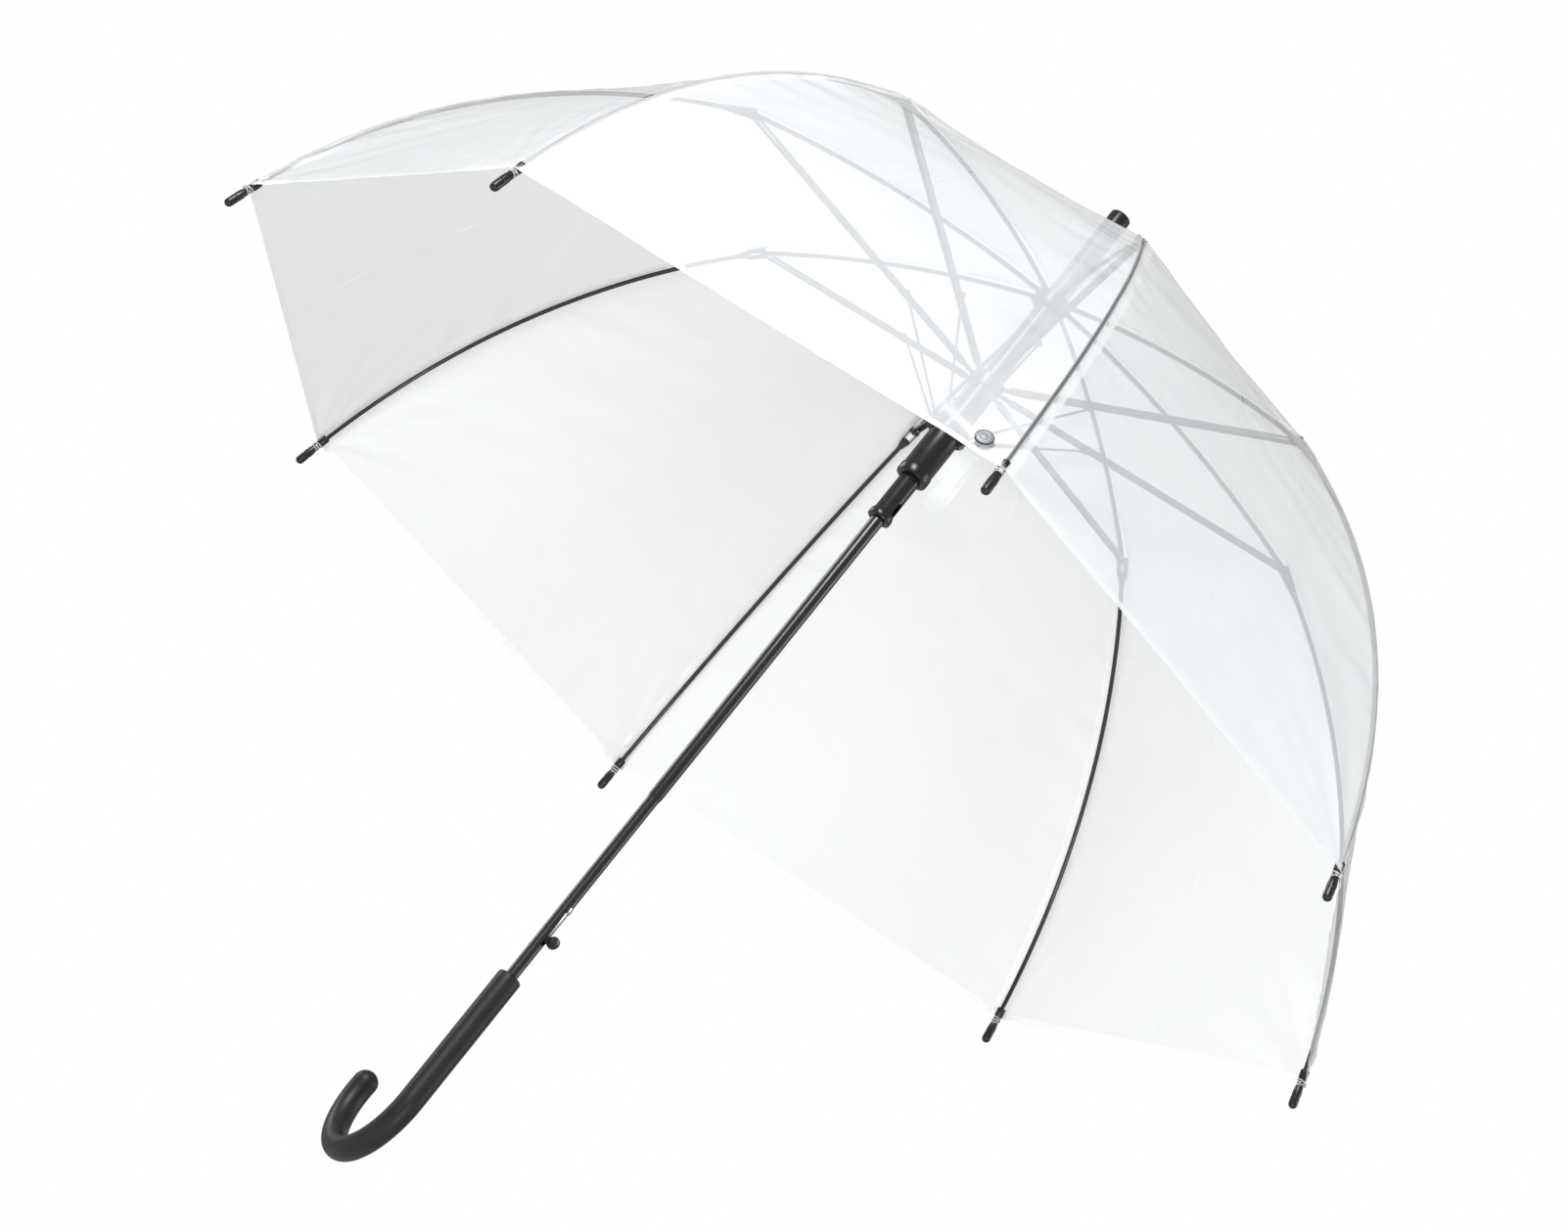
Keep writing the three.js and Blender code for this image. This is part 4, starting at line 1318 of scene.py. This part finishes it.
        def hem(x: float, y: float) -> Pair:
            """A narrow strip along the rim."""
            return main(x, y)[0], self.length - self.hem * (1 - y)

        blank = self.grid(rib, self.columns, self.rows[band], main, 0.0)
        strips = [self.grid(rib, 2, self.rows[band], strip, 0.3)]
        if band is Band.LOWER:
            strips.append(self.grid(rib, self.columns, 2, hem, 0.3))
        for each in strips:
            for face in each.bm.faces:
                face.material_index = 1
            blank += each
        return blank

    def build(self, film: Material, band_film: Material) -> None:
        """Args:
            film: the film's finish.
            band_film: the finish of its welded strips.
        """
        for rib in range(RIBS):
            n = rib + 1
            for band, body in ((Band.UPPER, f"rib_{n}"), (Band.LOWER, f"lower_{n}")):
                made = self.patch(rib, band).piece(f"film_{band.name.lower()}_{n}", [film, band_film])
                nodes = (f"canopy_gore_{n}", f"canopy_gore_{(rib - 1) % RIBS + 1}")
                settle(made, body, Slot.FILM, *nodes)
                made.visible_shadow = made.visible_glossy = made.visible_diffuse = False
                low, high = self.ends(band)
                flat = (2 * self.half_gore(high) * METRE, (high - low) * METRE * self.ease)
                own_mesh(made)


@dataclass
class StrapAndSnap:
    """The snap beside the corner of the second gore, and the clear strap that hangs there."""

    dome: FilmDome
    rib: int = 2
    along_hem: float = 20.0
    up_film: float = 10.0
    radius: float = 5.8
    height: float = 3.2
    loop: float = 46.0
    loop_half: float = 7.0
    strap: float = 12.0

    def corner(self) -> tuple[Vector, Vector, Vector, Vector]:
        """The corner of the hem at the strap.

        Returns:
            The corner, and the directions along the hem, up the film and out of it.
        """
        corner = self.dome.surface(self.rib, 0, self.dome.length)
        other = self.dome.surface(self.rib - 1, 0, self.dome.length)
        hem = (other - corner).normalized()
        up = self.dome.surface(self.rib, 0, self.dome.length - 20) - corner
        up = (up - hem * up.dot(hem)).normalized()
        return corner, hem, up, up.cross(hem)

    def snapped(self, profile: Sequence[Pair]) -> Blank:
        """One of the snap's turned pieces in its place.

        Args:
            profile: (radius, height) points, as shares of the snap's radius and height.

        Returns:
            The blank.
        """
        corner, hem, up, out = self.corner()
        blank = Blank.turned([(r * self.radius, h * self.height) for r, h in profile], 40)
        place = corner + hem * self.along_hem + up * self.up_film + out * 0.8
        turn = Matrix((hem, out.cross(hem), out)).transposed().to_4x4()
        return blank.moved(Matrix.Translation(place) @ turn)

    def cap(self) -> Blank:
        """Returns the cap: a shallow dome with a ring."""
        return self.snapped([
            (0, 0.56), (0.9, 0.56), (0.93, 0.62), (0.93, 0.7), (0.86, 0.8), (0.7, 0.89), (0.45, 0.93),
            (0.4, 0.89), (0.34, 0.94), (0.15, 0.99), (0, 1),
        ])

    def skirt(self) -> Blank:
        """Returns the cap's dark moulded skirt."""
        profile = [(0, 0.28), (0.94, 0.28), (1, 0.34), (1, 0.56), (0.95, 0.66), (0.935, 0.6), (0, 0.5)]
        return self.snapped(profile)

    def socket(self) -> Blank:
        """Returns the pale socket under the film."""
        return self.snapped([(0, 0), (0.9, 0), (0.97, 0.06), (0.97, 0.22), (0.9, 0.26), (0, 0.26)])

    def strap_loop(self) -> Blank:
        """Returns the strap: a hanging loop of film."""
        corner, hem, _, _ = self.corner()
        blank, high, steps, parts = Blank(), self.loop / 2, 40, 3
        turns = [2 * math.pi * i / steps + math.pi / 2 for i in range(steps)]
        points = [(self.loop_half * math.cos(turn), 0, -high + high * math.sin(turn)) for turn in turns]
        ring = [blank.bm.verts.new(point) for point in points]
        edges = [blank.bm.edges.new(pair) for pair in zip(ring, ring[1:] + ring[:1])]
        for _ in range(parts):
            made = bmesh.ops.extrude_edge_only(blank.bm, edges=edges)["geom"]
            fresh = set(vertices(made))
            edges = [e for e in made if isinstance(e, bmesh.types.BMEdge) and set(e.verts) <= fresh]
            bmesh.ops.translate(blank.bm, vec=(0, self.strap / parts, 0), verts=list(fresh))
        layer = blank.bm.loops.layers.uv.new("UVMap")
        for face in blank.bm.faces:
            for loop in face.loops:
                loop[layer].uv = (loop.vert.co.y * METRE, loop.vert.co.z * METRE)
        bmesh.ops.recalc_face_normals(blank.bm, faces=blank.bm.faces)
        up = Vector((0, 0, 1))
        across = Vector((hem.x, hem.y, 0)).normalized()
        turn = Matrix((across.cross(up), across, up)).transposed().to_4x4()
        place = corner + hem * self.along_hem - across * self.strap / 2 - up * 0.4
        return blank.moved(Matrix.Translation(place) @ turn)

    def build(self, sheen_painted: Material, dark: Material, pale: Material, film: Material) -> None:
        """Makes the snap and the strap.

        Args:
            sheen_painted: the cap's finish, light grey and part metallic as a painted reflection of the key
                light.
            dark: the skirt's finish.
            pale: the socket's finish.
            film: the strap's finish.
        """
        body = f"lower_{self.rib + 1}"
        settle(self.cap().piece("snap_cap", sheen_painted), body, Slot.PLASTIC, "snap_button")
        settle(self.skirt().piece("snap_skirt", dark), body, Slot.PLASTIC)
        settle(self.socket().piece("snap_socket", pale), body, Slot.FILM)
        strap = settle(self.strap_loop().piece("film_strap", film), body, Slot.FILM, "tie_strap")


# ---------------------------------------------------------------- studio
@dataclass(frozen=True)
class SoftBox:
    """One area light aimed at the umbrella's middle."""

    name: str
    way: Triple
    distance: float
    size: float
    power: float

    def hang(self, aim: Vector) -> None:
        """Adds the light.

        Args:
            aim: the point that it faces, in metres.
        """
        light = bpy.data.lights.new(self.name, "AREA")
        light.shape, light.size, light.energy = "DISK", self.size, self.power
        made = bpy.data.objects.new(self.name, light)
        way = Vector(self.way).normalized()
        made.location = aim + way * self.distance
        made.rotation_euler = way.to_track_quat("Z", "Y").to_euler()
        bpy.context.collection.objects.link(made)


@dataclass
class Studio:
    """Camera, soft lights, white surroundings and floor. Lengths are metres."""

    azimuth: float = 175.55
    elevation: float = -19.86
    roll: float = 38.83
    distance: float = 3.04
    aim: Triple = (0.0090, 0.0044, 0.3567)
    lens: float = 107.23
    floor_z: float = -0.8
    floor_size: float = 60.0
    ambient: float = 0.42
    boxes: tuple[SoftBox, ...] = (
        SoftBox("key light", (0.585, 0.652, 0.453), 2.4, 1.0, 31.0),
        SoftBox("stripe light", (0.498, 0.797, 0.34), 3.0, 1.1, 26.0),
        SoftBox("left fill", (0.9, -0.5, 0.3), 2.8, 1.2, 16.0),
        SoftBox("right fill", (-0.93, 0.22, 0.34), 2.8, 1.6, 17.0),
        SoftBox("low fill", (-0.3, 0.95, -0.6), 2.4, 0.8, 33.0),
    )

    def camera(self) -> None:
        """Adds the camera."""
        data = bpy.data.cameras.new("camera")
        data.lens, data.sensor_width, data.clip_end = self.lens, 36.0, 200.0
        made = bpy.data.objects.new("camera", data)
        a, e = math.radians(self.azimuth), math.radians(self.elevation)
        back = Vector((math.sin(a) * math.cos(e), -math.cos(a) * math.cos(e), math.sin(e)))
        turn = back.to_track_quat("Z", "Y").to_matrix().to_4x4()
        place = Matrix.Translation(Vector(self.aim) + back * self.distance)
        made.matrix_world = place @ turn @ Matrix.Rotation(math.radians(self.roll), 4, "Z")
        bpy.context.collection.objects.link(made)
        bpy.context.scene.camera = made

    def surroundings(self) -> None:
        """Makes the surroundings white to look at and softer as a light."""
        world = bpy.data.worlds.new("white surroundings")
        bpy.context.scene.world = world
        world.use_nodes = True
        tree = world.node_tree
        shade = tree.nodes["Background"]
        shade.inputs["Color"].default_value = (1, 1, 1, 1)
        rays = tree.nodes.new("ShaderNodeLightPath")
        level = tree.nodes.new("ShaderNodeMapRange")
        level.inputs["To Min"].default_value = self.ambient
        level.inputs["To Max"].default_value = 1.0
        tree.links.new(rays.outputs["Is Camera Ray"], level.inputs["Value"])
        tree.links.new(level.outputs["Result"], shade.inputs["Strength"])
        bpy.context.scene.view_settings.view_transform = "Standard"

    def floor(self, pale: Material) -> None:
        """Adds the floor, well below the umbrella, which is held by its grip.

        Args:
            pale: its finish.
        """
        blank = Blank()
        bmesh.ops.create_grid(blank.bm, x_segments=8, y_segments=8, size=self.floor_size / 2 / METRE)
        made = blank.moved(Matrix.Translation((0, 0, self.floor_z / METRE))).piece("studio_floor", pale)

    def build(self, pale: Material) -> None:
        """Sets everything up round the umbrella."""
        self.camera()
        self.surroundings()
        self.floor(pale)
        for box in self.boxes:
            box.hang(Vector(self.aim))


def main() -> None:
    """Builds the studio and every piece of the umbrella."""
    logging.basicConfig(level=logging.INFO, format="%(name)s: %(message)s")
    Studio().build(PALE_FLOOR.make())
    steel, plastic, wire = PaintedSteel().make(), MouldedPlastic().make(), DRAWN_WIRE.make()
    link = Linkage()
    ShaftTube().build(steel, plastic, wire)
    CrookHandle().build(SatinGrip().make())
    CrownFittings(link).build(plastic)
    Runners(link).build(plastic, wire)
    RibSet(link).build(steel, plastic, SEWING_THREAD.make())
    StretcherSet(link).build(steel)
    dome = FilmDome(link)
    dome.build(ClearFilm().make(), WELDED_BAND.make())
    strap_film = ClearFilm("strap film", cover=0.05, pressed=1.0).make()
    StrapAndSnap(dome).build(SNAP_PAINTED_SHEEN.make(), plastic, CLEAR_SOCKET.make(), strap_film)
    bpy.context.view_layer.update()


if __name__ == "__main__":
    main()
